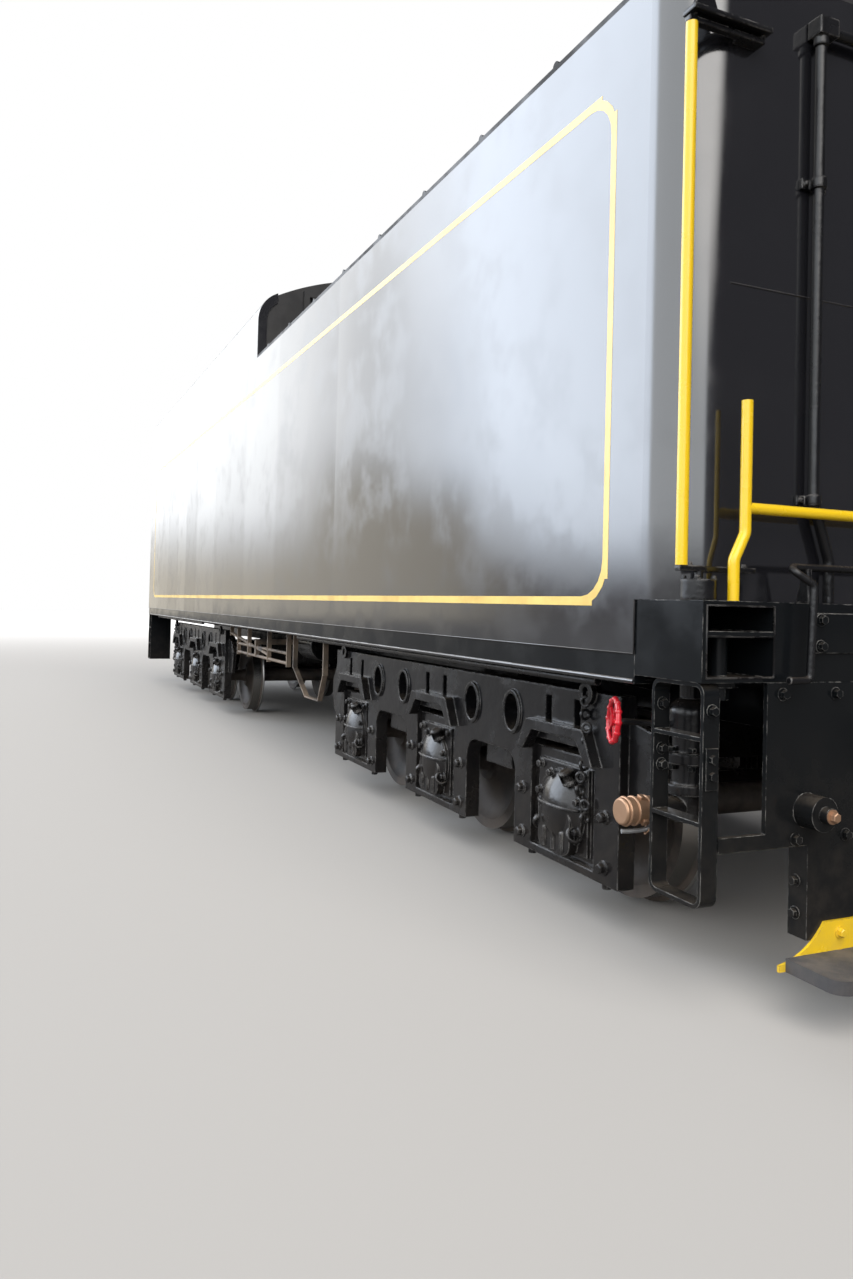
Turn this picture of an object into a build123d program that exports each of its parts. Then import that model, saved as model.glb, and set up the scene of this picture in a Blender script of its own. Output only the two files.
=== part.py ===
from build123d import *
import os
from math import cos, radians, sin

# Six-axle coal and water tender of a large steam locomotive, in millimetres.
# +X points to the tender's rear, +Y to its right side, +Z up.
# The origin is at the middle of its length and width, under the wheel flanges.
os.makedirs("parts", exist_ok=True)

# Plan of the whole vehicle, from its rear end to its front end
coupler_reach = 605
rear_overhang = 2889
truck_spacing = 8534
axle_spacing = 1524
front_overhang = 3106
platform_depth = 136
front_apron = 160
buffer_depth = 106
overall_length = (coupler_reach + rear_overhang + truck_spacing + front_overhang + front_apron
                  + buffer_depth)

knuckle_face_x = overall_length / 2
sill_face_x = knuckle_face_x - coupler_reach
rear_truck_x = sill_face_x - rear_overhang
front_truck_x = rear_truck_x - truck_spacing
tank_front_x = front_truck_x - front_overhang
tank_rear_x = sill_face_x - platform_depth
front_sill_x = tank_front_x - front_apron

# Wheels and track
track_gauge = 1435
back_clearance = 75
flange_height = 28
wheel_radius = 457
wheel_back_gap = track_gauge - back_clearance
tire_width = 140
flange_width = 38
axle_radius = 82
journal_radius = 70
journal_end_y = 1150
axle_z = flange_height + wheel_radius

# Heights and widths of the body
tank_width = 3000
bed_inset = 8
bed_bottom_z = 1193
tank_floor_z = 1312
deck_z = 1522
end_sill_bottom_z = 1228
tank_top_z = 3947
corner_radius = 219
corner_box_length = 393
tank_half = tank_width / 2
bed_half = tank_half - bed_inset
corner_box_x = sill_face_x - corner_box_length

# Coal bunker on top of the tank's front part
bunker_length = 7678
sheet = 16
eave_start_z = 4344
eave_radius = 320
eave_angle = 62
opening_half = tank_half - 200
bunker_rear_x = tank_front_x + bunker_length
coal_floor_z = 1924
coal_floor_half = 350
coal_floor_length = 3800
front_wall = 134
gate_height = 1560
gate_z = 1960

# Centre sill, truck centres and coupler
centre_sill_half = 350
centre_sill_z = 924
bowl_z = 904
bowl_radius = 230
kingpin_radius = 35
coupler_z = 904

# Clearance of a shaft in its bore, and of a curved face beside another
seat = 0.3
# Depth by which a bar is let into what it joins
weld = 1


def block(x0, x1, y0, y1, z0, z1, mode=Mode.ADD):
    """Add a box between two opposite corners."""
    with Locations(((x0 + x1) / 2, (y0 + y1) / 2, (z0 + z1) / 2)):
        Box(abs(x1 - x0), abs(y1 - y0), abs(z1 - z0), mode=mode)


def rod(start, end, radius, mode=Mode.ADD):
    """Add a round bar between two points."""
    run = Vector(*end) - Vector(*start)
    middle = Vector(*start) + run * 0.5
    with Locations(Plane(origin=middle, z_dir=run)):
        Cylinder(radius, run.length, mode=mode)


def upright(x, y, z0, z1, radius, mode=Mode.ADD):
    """Add an upright round bar."""
    rod((x, y, z0), (x, y, z1), radius, mode)


def crosswise(x, z, y0, y1, radius, mode=Mode.ADD):
    """Add a round bar that lies across the vehicle."""
    rod((x, y0, z), (x, y1, z), radius, mode)


def lengthwise(y, z, x0, x1, radius, mode=Mode.ADD):
    """Add a round bar that lies along the vehicle."""
    rod((x0, y, z), (x1, y, z), radius, mode)


def pipe(points, bend, radius):
    """Add a round bar bent through a list of points."""
    with BuildLine(mode=Mode.PRIVATE) as route:
        FilletPolyline(*points, radius=bend)
    start_plane = Plane(origin=route.line @ 0, z_dir=route.line % 0)
    with BuildSketch(start_plane, mode=Mode.PRIVATE) as section:
        Circle(radius)
    sweep(section.sketch, path=route.line)


def across(x):
    """Plane across the vehicle at x, its own X along +Y and its own Y up."""
    return Plane(origin=(x, 0, 0), x_dir=(0, 1, 0), z_dir=(1, 0, 0))


def facing_side(x, y, side):
    """Plane along the vehicle at x and y, its own Y up and its normal out to that side."""
    return Plane(origin=(x, y, 0), x_dir=(-side, 0, 0), z_dir=(0, side, 0))


def arch_face(inset, base_z, plane):
    """Section of the bunker: upright sides, round eaves and a shallow crown."""
    half = tank_half - inset
    eave = eave_radius - inset
    eave_y = tank_half - eave_radius
    crown = (tank_half - eave_radius * (1 - cos(radians(eave_angle)))) / cos(radians(eave_angle))
    crown_z = eave_start_z + (eave_radius - crown) * sin(radians(eave_angle))
    half_angle = radians(eave_angle / 2)
    end = (eave_y + eave * cos(radians(eave_angle)),
           eave_start_z + eave * sin(radians(eave_angle)))
    middle = (eave_y + eave * cos(half_angle), eave_start_z + eave * sin(half_angle))
    with BuildSketch(plane, mode=Mode.PRIVATE) as face:
        with BuildLine():
            Line((-half, base_z), (half, base_z))
            Line((half, base_z), (half, eave_start_z))
            ThreePointArc((half, eave_start_z), middle, end)
            ThreePointArc(end, (0, crown_z + crown - inset), (-end[0], end[1]))
            ThreePointArc((-end[0], end[1]), (-middle[0], middle[1]), (-half, eave_start_z))
            Line((-half, eave_start_z), (-half, base_z))
        make_face()
    return face.sketch


def deck_outline(front_x, inset, plane):
    """Plan of the tank from front_x to its rear wall, with the two rounded rear corners."""
    with BuildSketch(plane, mode=Mode.PRIVATE) as plan:
        with Locations(((front_x + tank_rear_x - inset) / 2, 0)):
            Rectangle(tank_rear_x - inset - front_x, tank_width - 2 * inset)
        fillet(plan.vertices().sort_by(Axis.X)[-2:], corner_radius - inset)
    return plan.sketch


def save(part, name):
    """Label a finished piece and write it."""
    part.label = name
    export_step(part, f"parts/{name}.step")


# Cast bed under the tank: floor, side sills, centre sill, cross-bearers and centre plates
bed_floor = 30
bed_floor_z = tank_floor_z - bed_floor
sill_web = 52
sill_flange = 150
flange_thick = 16
centre_web = 40
bolster_length = 400
kingpin_reach = 190
bearer_thick = 40
bearer_inner_z = 1024
bearer_outer_z = 1213
end_margin = 100
# cross member: distance from the truck's centre, and thickness along the tender
cross_members = (
    (-2800, bearer_thick), (-1200, bearer_thick), (0, bolster_length),
    (1200, bearer_thick), (2800, bearer_thick),
)
with BuildPart() as bed:
    block(tank_front_x, corner_box_x, -bed_half, bed_half, bed_floor_z, tank_floor_z)
    web_y = bed_half - sill_web
    for side in (-1, 1):
        block(tank_front_x, corner_box_x, side * bed_half, side * web_y, bed_bottom_z, bed_floor_z)
        block(tank_front_x, corner_box_x, side * web_y, side * (bed_half - sill_flange),
              bed_bottom_z, bed_bottom_z + flange_thick)
        block(tank_front_x, corner_box_x, side * centre_sill_half,
              side * (centre_sill_half - centre_web), centre_sill_z, bed_floor_z)
    for truck_x in (rear_truck_x, front_truck_x):
        block(truck_x - bolster_length / 2, truck_x + bolster_length / 2, -centre_sill_half,
              centre_sill_half, centre_sill_z, bed_floor_z)
        upright(truck_x, 0, bowl_z, centre_sill_z, bowl_radius)
        upright(truck_x, 0, bowl_z - kingpin_reach, bowl_z, kingpin_radius)
        for step, thickness in cross_members:
            bearer_x = truck_x + step - thickness / 2
            if tank_front_x + end_margin < bearer_x < corner_box_x - end_margin:
                for side in (-1, 1):
                    with BuildSketch(across(bearer_x)):
                        Polygon(
                            (side * (centre_sill_half - weld), bearer_inner_z),
                            (side * (web_y + weld), bearer_outer_z),
                            (side * (web_y + weld), bed_floor_z),
                            (side * (centre_sill_half - weld), bed_floor_z),
                            align=None,
                        )
                    extrude(amount=thickness)
save(bed.part, "underframe")

# Rear end sill: hollow casting with a push-pole pocket and its drain at each corner
casting = 18
pocket_width = 328
pocket_inner_y = bed_half - pocket_width
pocket_shelf_z = 1395
pocket_pipe_radius = 34
pocket_pipe_x = sill_face_x - 120
pocket_flange_radius = 75
pocket_flange_z = end_sill_bottom_z - 22
pocket_nut_z = end_sill_bottom_z - 70
pocket_nut_radius = 44
pad_half = 990
pad_z = (1337, 1485)
pad_thick = 10
with BuildPart() as rear_sill:
    block(corner_box_x, sill_face_x, -bed_half, bed_half, end_sill_bottom_z, deck_z)
    block(corner_box_x + casting, sill_face_x - casting, -pocket_inner_y + casting,
          pocket_inner_y - casting, end_sill_bottom_z, deck_z - casting, mode=Mode.SUBTRACT)
    pocket_outer_y = bed_half - casting
    pocket_y = (pocket_inner_y + pocket_outer_y) / 2
    for side in (-1, 1):
        block(corner_box_x + casting, sill_face_x, side * pocket_inner_y, side * pocket_outer_y,
              end_sill_bottom_z + casting, deck_z - casting, mode=Mode.SUBTRACT)
        block(corner_box_x + casting, sill_face_x, side * pocket_inner_y, side * pocket_outer_y,
              pocket_shelf_z, pocket_shelf_z + casting)
        upright(pocket_pipe_x, side * pocket_y, end_sill_bottom_z, pocket_shelf_z,
                pocket_pipe_radius)
        upright(pocket_pipe_x, side * pocket_y, pocket_flange_z, end_sill_bottom_z,
                pocket_flange_radius)
        with BuildSketch(Plane.XY.offset(pocket_nut_z)):
            with Locations((pocket_pipe_x, side * pocket_y)):
                RegularPolygon(pocket_nut_radius, 6)
        extrude(amount=pocket_flange_z - pocket_nut_z)
    block(sill_face_x, sill_face_x + pad_thick, -pad_half, pad_half, *pad_z)
save(rear_sill.part, "rear_end_sill")

# Front end sill with the apron over the drawbar
front_sill_inset = 92
front_sill_half = bed_half - front_sill_inset
front_sill_top_z = 1482
front_sill_corner = 40
with BuildPart() as front_sill:
    block(front_sill_x, tank_front_x, -front_sill_half, front_sill_half, bed_bottom_z,
          front_sill_top_z)
    fillet(front_sill.edges().filter_by(Axis.Z).sort_by(Axis.X)[:2], front_sill_corner)
save(front_sill.part, "front_end_sill")

# Drawbar pocket between the webs of the centre sill, with the hole for the drawbar's pin
pocket_half = centre_sill_half - centre_web
drawbar_pocket_length = 594
drawbar_pocket_z = (844, bed_bottom_z)
slot_half = 200
drawbar_slot_z = (884, 1044)
drawbar_slot_length = 420
pin_hole_radius = 76
pin_hole_x = front_sill_x + 200
with BuildPart() as drawbar_pocket:
    block(front_sill_x, front_sill_x + drawbar_pocket_length, -pocket_half, pocket_half,
          *drawbar_pocket_z)
    block(front_sill_x, front_sill_x + drawbar_slot_length, -slot_half, slot_half,
          *drawbar_slot_z, mode=Mode.SUBTRACT)
    upright(pin_hole_x, 0, *drawbar_pocket_z, pin_hole_radius, mode=Mode.SUBTRACT)
save(drawbar_pocket.part, "drawbar_pocket")

# Radial buffer that bears on the engine, its face rounded in plan
buffer_half = 250
buffer_z = (1213, 1433)
buffer_corner = 60
with BuildPart() as buffer_part:
    block(front_sill_x - buffer_depth, front_sill_x, -buffer_half, buffer_half, *buffer_z)
    fillet(buffer_part.edges().filter_by(Axis.Z).sort_by(Axis.X)[:2], buffer_corner)
save(buffer_part.part, "front_buffer")

# Water tank with the coal space sunk into its front part
chute_length = 400
chute_top_gap = 60
with BuildPart() as tank:
    extrude(deck_outline(tank_front_x, 0, Plane.XY.offset(tank_floor_z)),
            amount=tank_top_z - tank_floor_z)
    block(corner_box_x, sill_face_x, -tank_half, tank_half, tank_floor_z, deck_z,
          mode=Mode.SUBTRACT)
    coal_front_x = tank_front_x + front_wall
    coal_rear_x = bunker_rear_x - sheet
    with BuildSketch(Plane.XY.offset(tank_top_z)):
        with Locations(((coal_front_x + coal_rear_x) / 2, 0)):
            Rectangle(coal_rear_x - coal_front_x, tank_width - 2 * sheet)
    with BuildSketch(Plane.XY.offset(coal_floor_z)):
        with Locations((coal_front_x + coal_floor_length / 2, 0)):
            Rectangle(coal_floor_length, 2 * coal_floor_half)
    loft(mode=Mode.SUBTRACT)
    block(tank_front_x, coal_front_x + chute_length, -coal_floor_half, coal_floor_half,
          gate_z, gate_z + gate_height - chute_top_gap, mode=Mode.SUBTRACT)
save(tank.part, "water_tank")

# Bead along the tank's top edge and the round lifting lugs that stand on it
flange_sheet = 10
bead_width = 24
bead_height = 26
lug_pitch = 762
lug_first_x = rear_truck_x + 1810
lug_radius = 24
lug_thick = 20
with BuildPart() as bead:
    bead_front_x = bunker_rear_x + flange_sheet
    bead_plane = Plane.XY.offset(tank_top_z)
    extrude(deck_outline(bead_front_x, 0, bead_plane), amount=bead_height)
    extrude(deck_outline(bead_front_x - weld, bead_width, bead_plane), amount=bead_height,
            mode=Mode.SUBTRACT)
    lug_count = int((lug_first_x - bead_front_x - lug_radius) / lug_pitch) + 1
    lug_outer_y = tank_half - (bead_width - lug_thick) / 2
    for side in (-1, 1):
        for step in range(lug_count):
            crosswise(lug_first_x - step * lug_pitch, tank_top_z + lug_radius + seat,
                      side * lug_outer_y, side * (lug_outer_y - lug_thick), lug_radius)
save(bead.part, "deck_edge_bead")

# Bunker side sheets, curved in at the eaves, with a flange at the rear end
flange_depth = 90
with BuildPart() as cheeks:
    extrude(arch_face(0, tank_top_z, across(tank_front_x)), amount=bunker_length)
    extrude(arch_face(sheet, tank_top_z, across(tank_front_x)), amount=bunker_length,
            mode=Mode.SUBTRACT)
    extrude(arch_face(0, tank_top_z, across(bunker_rear_x)), amount=flange_sheet)
    extrude(arch_face(flange_depth, tank_top_z, across(bunker_rear_x)), amount=flange_sheet,
            mode=Mode.SUBTRACT)
    block(tank_front_x, bunker_rear_x + flange_sheet, -opening_half, opening_half,
          tank_top_z, tank_top_z + tank_half, mode=Mode.SUBTRACT)
save(cheeks.part, "bunker_side_sheets")

# Bunker end walls; the rear one has a frame of angle iron on its outside
stiffener_inset = 467
stiffener_y = tank_half - stiffener_inset
stiffener_width = 60
stiffener_depth = 50
stiffener_top_z = 4700
foot_angle = 50
with BuildPart() as rear_wall:
    extrude(arch_face(sheet + seat, tank_top_z, across(bunker_rear_x - sheet)), amount=sheet)
    for side in (-1, 1):
        block(bunker_rear_x, bunker_rear_x + stiffener_depth, side * stiffener_y,
              side * (stiffener_y - stiffener_width), tank_top_z, stiffener_top_z)
    block(bunker_rear_x, bunker_rear_x + stiffener_depth, -stiffener_y + stiffener_width,
          stiffener_y - stiffener_width, stiffener_top_z - stiffener_width, stiffener_top_z)
    block(bunker_rear_x, bunker_rear_x + foot_angle, -stiffener_y + stiffener_width,
          stiffener_y - stiffener_width, tank_top_z, tank_top_z + sheet)
save(rear_wall.part, "bunker_rear_wall")

with BuildPart() as front_bulkhead:
    extrude(arch_face(sheet + seat, tank_top_z, across(tank_front_x)), amount=sheet)
save(front_bulkhead.part, "bunker_front_wall")

# Coal gates: two ribbed leaves on upright pins at the front of the coal space
leaf_thick = 20
leaf_gap = 16
leaf_half = 5
hinge_y = 505
hinge_reach = 40
hinge_x = tank_front_x - hinge_reach
knuckle_radius = 22
pin_radius = 11
pin_clearance = seat
strap_margin = 2
pin_margin = 60
foot_height = 40
knuckle_length = 100
rib_height = 60
rib_depth = 12
rib_margin = 20
knuckle_heights = (gate_z + 150, gate_z + gate_height - 250)
foot_heights = (gate_z + pin_margin, gate_z + gate_height / 2, gate_z + gate_height - 100)
rib_heights = (gate_z + 60, gate_z + gate_height / 2 + 20, gate_z + gate_height - 160)
with BuildPart() as gate_pins:
    for side in (-1, 1):
        upright(hinge_x, side * hinge_y, gate_z + pin_margin, gate_z + gate_height - pin_margin,
                pin_radius)
        for foot_z in foot_heights:
            block(hinge_x - knuckle_radius, tank_front_x, side * (hinge_y - knuckle_radius),
                  side * (hinge_y + knuckle_radius), foot_z, foot_z + foot_height)
save(gate_pins.part, "gate_hinge_pins")

leaf_outer_y = hinge_y - knuckle_radius - leaf_gap
for side, gate_name in ((-1, "coal_gate_left"), (1, "coal_gate_right")):
    with BuildPart() as leaf:
        block(hinge_x - leaf_thick / 2, hinge_x + leaf_thick / 2, side * leaf_half,
              side * leaf_outer_y, gate_z, gate_z + gate_height)
        for low_z in knuckle_heights:
            upright(hinge_x, side * hinge_y, low_z, low_z + knuckle_length, knuckle_radius)
            block(hinge_x - leaf_thick / 2, hinge_x + leaf_thick / 2,
                  side * (leaf_outer_y - weld), side * (hinge_y - pin_radius - strap_margin),
                  low_z, low_z + knuckle_length)
            upright(hinge_x, side * hinge_y, low_z - weld, low_z + knuckle_length + weld,
                    pin_radius + pin_clearance, mode=Mode.SUBTRACT)
        for rib_z in rib_heights:
            block(hinge_x - leaf_thick / 2 - rib_depth, hinge_x - leaf_thick / 2,
                  side * (leaf_half + rib_margin), side * (leaf_outer_y - rib_margin),
                  rib_z, rib_z + rib_height)
    save(leaf.part, gate_name)

# Water hatch on the rear deck: coaming with hinge ears, and the lid with its handle
hatch_x = 5300
hatch_length = 1500
hatch_width = 620
hatch_height = 190
hatch_wall = 14
lid_gap = 1
lid_thick = 14
lid_overhang = 18
hatch_hinge_reach = 42
hatch_hinge_x = hatch_x - hatch_width / 2 - hatch_hinge_reach
lid_z = tank_top_z + hatch_height + lid_gap
hatch_hinge_z = lid_z + lid_thick / 2
ear_y = (260, 300)
ear_half = 20
ear_rise = 11
ear_root = (60, 6)
ear_overlap = 2
ear_nose = 12
strap_gap = 4
strap_width = 24
strap_length = 100
strap_rise = 14
with BuildPart() as coaming:
    with BuildSketch(Plane.XY.offset(tank_top_z)):
        with Locations((hatch_x, 0)):
            SlotOverall(hatch_length, hatch_width, rotation=90)
            SlotOverall(hatch_length - 2 * hatch_wall, hatch_width - 2 * hatch_wall, rotation=90,
                        mode=Mode.SUBTRACT)
    extrude(amount=hatch_height)
    for side in (-1, 1):
        block(hatch_hinge_x - ear_half, hatch_x - hatch_width / 2 + hatch_wall / 2,
              side * ear_y[0], side * ear_y[1], tank_top_z + hatch_height - ear_root[0],
              tank_top_z + hatch_height - ear_root[1])
        block(hatch_hinge_x - ear_half, hatch_hinge_x + ear_nose, side * ear_y[0], side * ear_y[1],
              tank_top_z + hatch_height - ear_root[1] - ear_overlap, hatch_hinge_z + ear_rise)
        crosswise(hatch_hinge_x, hatch_hinge_z, side * (ear_y[0] - strap_gap - strap_width),
                  side * (ear_y[1] + strap_gap + strap_width), pin_radius)
save(coaming.part, "hatch_coaming")

handle_y = 120
handle_half = 30
handle_rise = 30
with BuildPart() as lid:
    with BuildSketch(Plane.XY.offset(lid_z)):
        with Locations((hatch_x, 0)):
            SlotOverall(hatch_length + 2 * lid_overhang, hatch_width + 2 * lid_overhang,
                        rotation=90)
    extrude(amount=lid_thick)
    for side in (-1, 1):
        for low_y in (ear_y[0] - strap_gap - strap_width, ear_y[1] + strap_gap):
            high_y = low_y + strap_width
            block(hatch_hinge_x, hatch_hinge_x + strap_length, side * low_y, side * high_y,
                  lid_z, lid_z + lid_thick + strap_rise)
            crosswise(hatch_hinge_x, hatch_hinge_z, side * low_y, side * high_y, knuckle_radius)
            crosswise(hatch_hinge_x, hatch_hinge_z, side * (low_y - weld), side * (high_y + weld),
                      pin_radius + pin_clearance, mode=Mode.SUBTRACT)
    block(hatch_x - handle_half, hatch_x + handle_half, -handle_y, handle_y, lid_z + lid_thick,
          lid_z + lid_thick + handle_rise)
save(lid.part, "hatch_lid")

# Ladder on the rear wall, behind the end railing's cross bar
ladder_y = (780, 1120)
ladder_x = tank_rear_x + 62
ladder_top_z = 3900
rung_pitch = 300
rung_first_z = deck_z + 240
rung_count = 8
rung_radius = 11
rail_thick = 12
rail_depth = 36
ladder_foot = 50
ladder_feet_z = (deck_z + 500, ladder_top_z - 1000, ladder_top_z - 60)
with BuildPart() as ladder:
    for rail_y in ladder_y:
        block(ladder_x - rail_depth / 2, ladder_x + rail_depth / 2, rail_y - rail_thick / 2,
              rail_y + rail_thick / 2, deck_z, ladder_top_z)
        for foot_z in ladder_feet_z:
            block(tank_rear_x, ladder_x - rail_depth / 2 + weld, rail_y - rail_thick / 2,
                  rail_y + rail_thick / 2, foot_z, foot_z + ladder_foot)
    for step in range(rung_count):
        crosswise(ladder_x, rung_first_z + step * rung_pitch, *ladder_y, rung_radius)
save(ladder.part, "rear_ladder")

# Back-up lamp on its bracket at the middle of the rear wall, with its lens set in
lamp_z = 3640
lamp_radius = 170
lamp_length = 230
lamp_x = tank_rear_x + 60
lamp_rim = 22
lamp_recess = 40
lens_thick = 10
shelf_half = 140
shelf_thick = 24
shelf_drop = 20
saddle_half = 70
bracket_drop = 160
with BuildPart() as lamp:
    shelf_z = lamp_z - lamp_radius - shelf_drop
    block(tank_rear_x, lamp_x + lamp_length, -shelf_half, shelf_half, shelf_z - shelf_thick,
          shelf_z)
    block(tank_rear_x, tank_rear_x + lamp_rim, -shelf_half, shelf_half, shelf_z - bracket_drop,
          shelf_z - shelf_thick)
    block(lamp_x + lamp_recess, lamp_x + lamp_length - lamp_recess, -saddle_half, saddle_half,
          shelf_z, shelf_z + 3 * shelf_drop)
    lengthwise(0, lamp_z, lamp_x, lamp_x + lamp_length, lamp_radius)
    lengthwise(0, lamp_z, lamp_x + lamp_length - lamp_recess, lamp_x + lamp_length + weld,
               lamp_radius - lamp_rim, mode=Mode.SUBTRACT)
save(lamp.part, "backup_lamp")
with BuildPart() as lens:
    lens_x = lamp_x + lamp_length - lamp_recess
    lengthwise(0, lamp_z, lens_x, lens_x + lens_thick, lamp_radius - lamp_rim - seat)
save(lens.part, "lamp_lens")

# Conduit that climbs the rear wall, with its clamps and the box at its elbow
conduit_radius = 21
conduit_x = tank_rear_x + 38
conduit_y = -886
conduit_foot_y = -800
conduit_knees_z = (1690, 1923)
clamp_heights = (1900, 3138)
clip_bulge = 1.4
conduit_top_z = 3767
conduit_end_y = -100
elbow_half = 34
elbow_reach = 60
clamp_half = 62
clamp_height = 40
clamp_thick = 16
joint_half = 25
with BuildPart() as conduit:
    pipe([(conduit_x, conduit_foot_y, deck_z), (conduit_x, conduit_foot_y, conduit_knees_z[0]),
          (conduit_x, conduit_y, conduit_knees_z[1]), (conduit_x, conduit_y, conduit_top_z)],
         elbow_reach, conduit_radius)
    crosswise(conduit_x, conduit_top_z, conduit_y, conduit_end_y, conduit_radius)
    block(conduit_x - joint_half, lamp_x, conduit_end_y - joint_half, conduit_end_y + joint_half,
          conduit_top_z - joint_half, conduit_top_z + joint_half)
    block(conduit_x - elbow_half, conduit_x + elbow_half, conduit_y - elbow_half,
          conduit_y + elbow_reach, conduit_top_z - elbow_half, conduit_top_z + elbow_half)
    upright(conduit_x, conduit_y, conduit_top_z - 2 * elbow_half, conduit_top_z, clip_bulge * conduit_radius)
    for clamp_z in clamp_heights:
        block(tank_rear_x, tank_rear_x + clamp_thick, conduit_y - clamp_half,
              conduit_y + clamp_half, clamp_z, clamp_z + clamp_height)
        block(tank_rear_x, conduit_x, conduit_y - conduit_radius, conduit_y + conduit_radius,
              clamp_z, clamp_z + clamp_height)
        upright(conduit_x, conduit_y, clamp_z, clamp_z + clamp_height, clip_bulge * conduit_radius)
save(conduit.part, "lamp_conduit")

# Yellow grab irons at the rear corners and their black brackets
grab_radius = 22
grab_x = tank_rear_x + 38
grab_y = tank_half + 12
grab_low_z = 1647
grab_high_z = 3624
bracket_half = 14
bracket_thick = 20
bracket_foot_y = (grab_y - 222, grab_y - 332)
clip_thick = 12
marker_reach = 20
marker_z = (3655, 3673)
marker_top_z = 3800
marker_foot = 130
socket_inset = 79
socket_radius = 66
socket_top_z = 1598
stud_radius = 16
with BuildPart() as grabs:
    for side in (-1, 1):
        upright(grab_x, side * grab_y, grab_low_z, grab_high_z, grab_radius)
save(grabs.part, "corner_grab_irons")
with BuildPart() as brackets:
    bracket_end_y = grab_y + grab_radius - 2
    for side in (-1, 1):
        for bracket_z in (grab_low_z - bracket_thick, grab_high_z):
            block(grab_x - bracket_half, grab_x + bracket_half, side * bracket_end_y,
                  side * bracket_foot_y[0], bracket_z, bracket_z + bracket_thick)
            block(tank_rear_x, grab_x + bracket_half, side * bracket_foot_y[0],
                  side * bracket_foot_y[1], bracket_z, bracket_z + bracket_thick)
        # stand of the marker lamp
        for plate_y in (bracket_foot_y[1], grab_y - clip_thick):
            block(grab_x - bracket_half, grab_x + bracket_half, side * plate_y,
                  side * (plate_y + clip_thick), grab_high_z + bracket_thick, marker_z[1])
        block(grab_x - 2 * bracket_half, grab_x + 3 * bracket_half,
              side * (bracket_foot_y[1] - clip_thick), side * (grab_y + marker_reach), *marker_z)
        with BuildSketch(across(grab_x - bracket_half)):
            Polygon(
                (side * grab_y, marker_z[1]), (side * (grab_y - marker_foot), marker_z[1]),
                (side * (grab_y - marker_foot / 2 - bracket_half), marker_top_z),
                (side * (grab_y - marker_foot / 2 + bracket_half), marker_top_z),
                align=None,
            )
        extrude(amount=bracket_half)
        # round foot of the lower bracket on the deck
        upright(grab_x, side * (grab_y - socket_inset), deck_z, socket_top_z, socket_radius)
        upright(grab_x, side * (grab_y - socket_inset), socket_top_z - weld,
                grab_low_z - bracket_thick + weld, stud_radius)
save(brackets.part, "grab_iron_brackets")

# Yellow end railing: a cranked post near each corner and one cross bar
rail_radius = 21
rail_x = sill_face_x - 31
post_y = bed_half - 161
post_upper_y = post_y - 50
post_knees_z = (1671, 1770)
post_top_z = 2255
post_bend = 50
cross_bar_z = 1862
with BuildPart() as railing:
    for side in (-1, 1):
        pipe([(rail_x, side * post_y, deck_z), (rail_x, side * post_y, post_knees_z[0]),
              (rail_x, side * post_upper_y, post_knees_z[1]),
              (rail_x, side * post_upper_y, post_top_z)], post_bend, rail_radius)
    crosswise(rail_x, cross_bar_z, -post_upper_y, post_upper_y, rail_radius)
save(railing.part, "end_railing")

# Stirrup steps of flat bar under the rear corners
stirrup_x = (sill_face_x - 300, sill_face_x - 6)
stirrup_bottom_z = 428
stirrup_width = 72
stirrup_bar = 16
stirrup_corner = 45
stirrup_outer_y = bed_half - 16
stirrup_rungs = (719, 1020)
with BuildPart() as stirrups:
    stirrup_inner_y = stirrup_outer_y - stirrup_width
    stirrup_middle = ((stirrup_x[0] + stirrup_x[1]) / 2, (stirrup_bottom_z + end_sill_bottom_z) / 2)
    stirrup_length = stirrup_x[1] - stirrup_x[0]
    stirrup_height = end_sill_bottom_z - stirrup_bottom_z
    for side in (-1, 1):
        far_y = max(side * stirrup_outer_y, side * stirrup_inner_y)
        with BuildSketch(Plane.XZ.offset(-far_y)):
            with Locations(stirrup_middle):
                RectangleRounded(stirrup_length, stirrup_height, stirrup_corner)
                RectangleRounded(stirrup_length - 2 * stirrup_bar, stirrup_height - 2 * stirrup_bar,
                                 stirrup_corner - stirrup_bar, mode=Mode.SUBTRACT)
        extrude(amount=stirrup_width)
        for rung_z in stirrup_rungs:
            block(stirrup_x[0] + weld, stirrup_x[1] - weld, side * stirrup_outer_y,
                  side * stirrup_inner_y, rung_z, rung_z + stirrup_bar)
save(stirrups.part, "stirrup_steps")

# Hanger plates under the rear sill, which carry the footboards, a brace and a roller
plate_inner_y = 500
plate_outer_y = bed_half - 507
plate_thick = 20
plate_bottom_z = 271
hanger_y = bed_half - 301
hanger_low_z = 679
brace_height = 55
angle_depth = 93
angle_thick = 12
roller_y = plate_outer_y + 10
roller_z = 755
roller_radius = 64
roller_length = 90
roller_hub_radius = 30
roller_hub_reach = 32
with BuildPart() as hangers:
    plate_x = sill_face_x - plate_thick
    for side in (-1, 1):
        with BuildSketch(across(plate_x)):
            Polygon(
                (side * plate_inner_y, plate_bottom_z), (side * plate_outer_y, plate_bottom_z),
                (side * plate_outer_y, hanger_low_z), (side * hanger_y, hanger_low_z),
                (side * hanger_y, end_sill_bottom_z), (side * plate_inner_y, end_sill_bottom_z),
                align=None,
            )
        extrude(amount=plate_thick)
        block(plate_x, sill_face_x, side * (plate_outer_y - weld), side * stirrup_inner_y,
              hanger_low_z - brace_height, hanger_low_z)
        block(sill_face_x - angle_depth, plate_x, side * (plate_outer_y - angle_thick),
              side * plate_outer_y, plate_bottom_z, hanger_low_z)
        lengthwise(side * roller_y, roller_z, sill_face_x, sill_face_x + roller_length,
                   roller_radius)
        lengthwise(side * roller_y, roller_z, sill_face_x + roller_length,
                   sill_face_x + roller_length + roller_hub_reach, roller_hub_radius)
save(hangers.part, "footboard_hangers")

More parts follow.
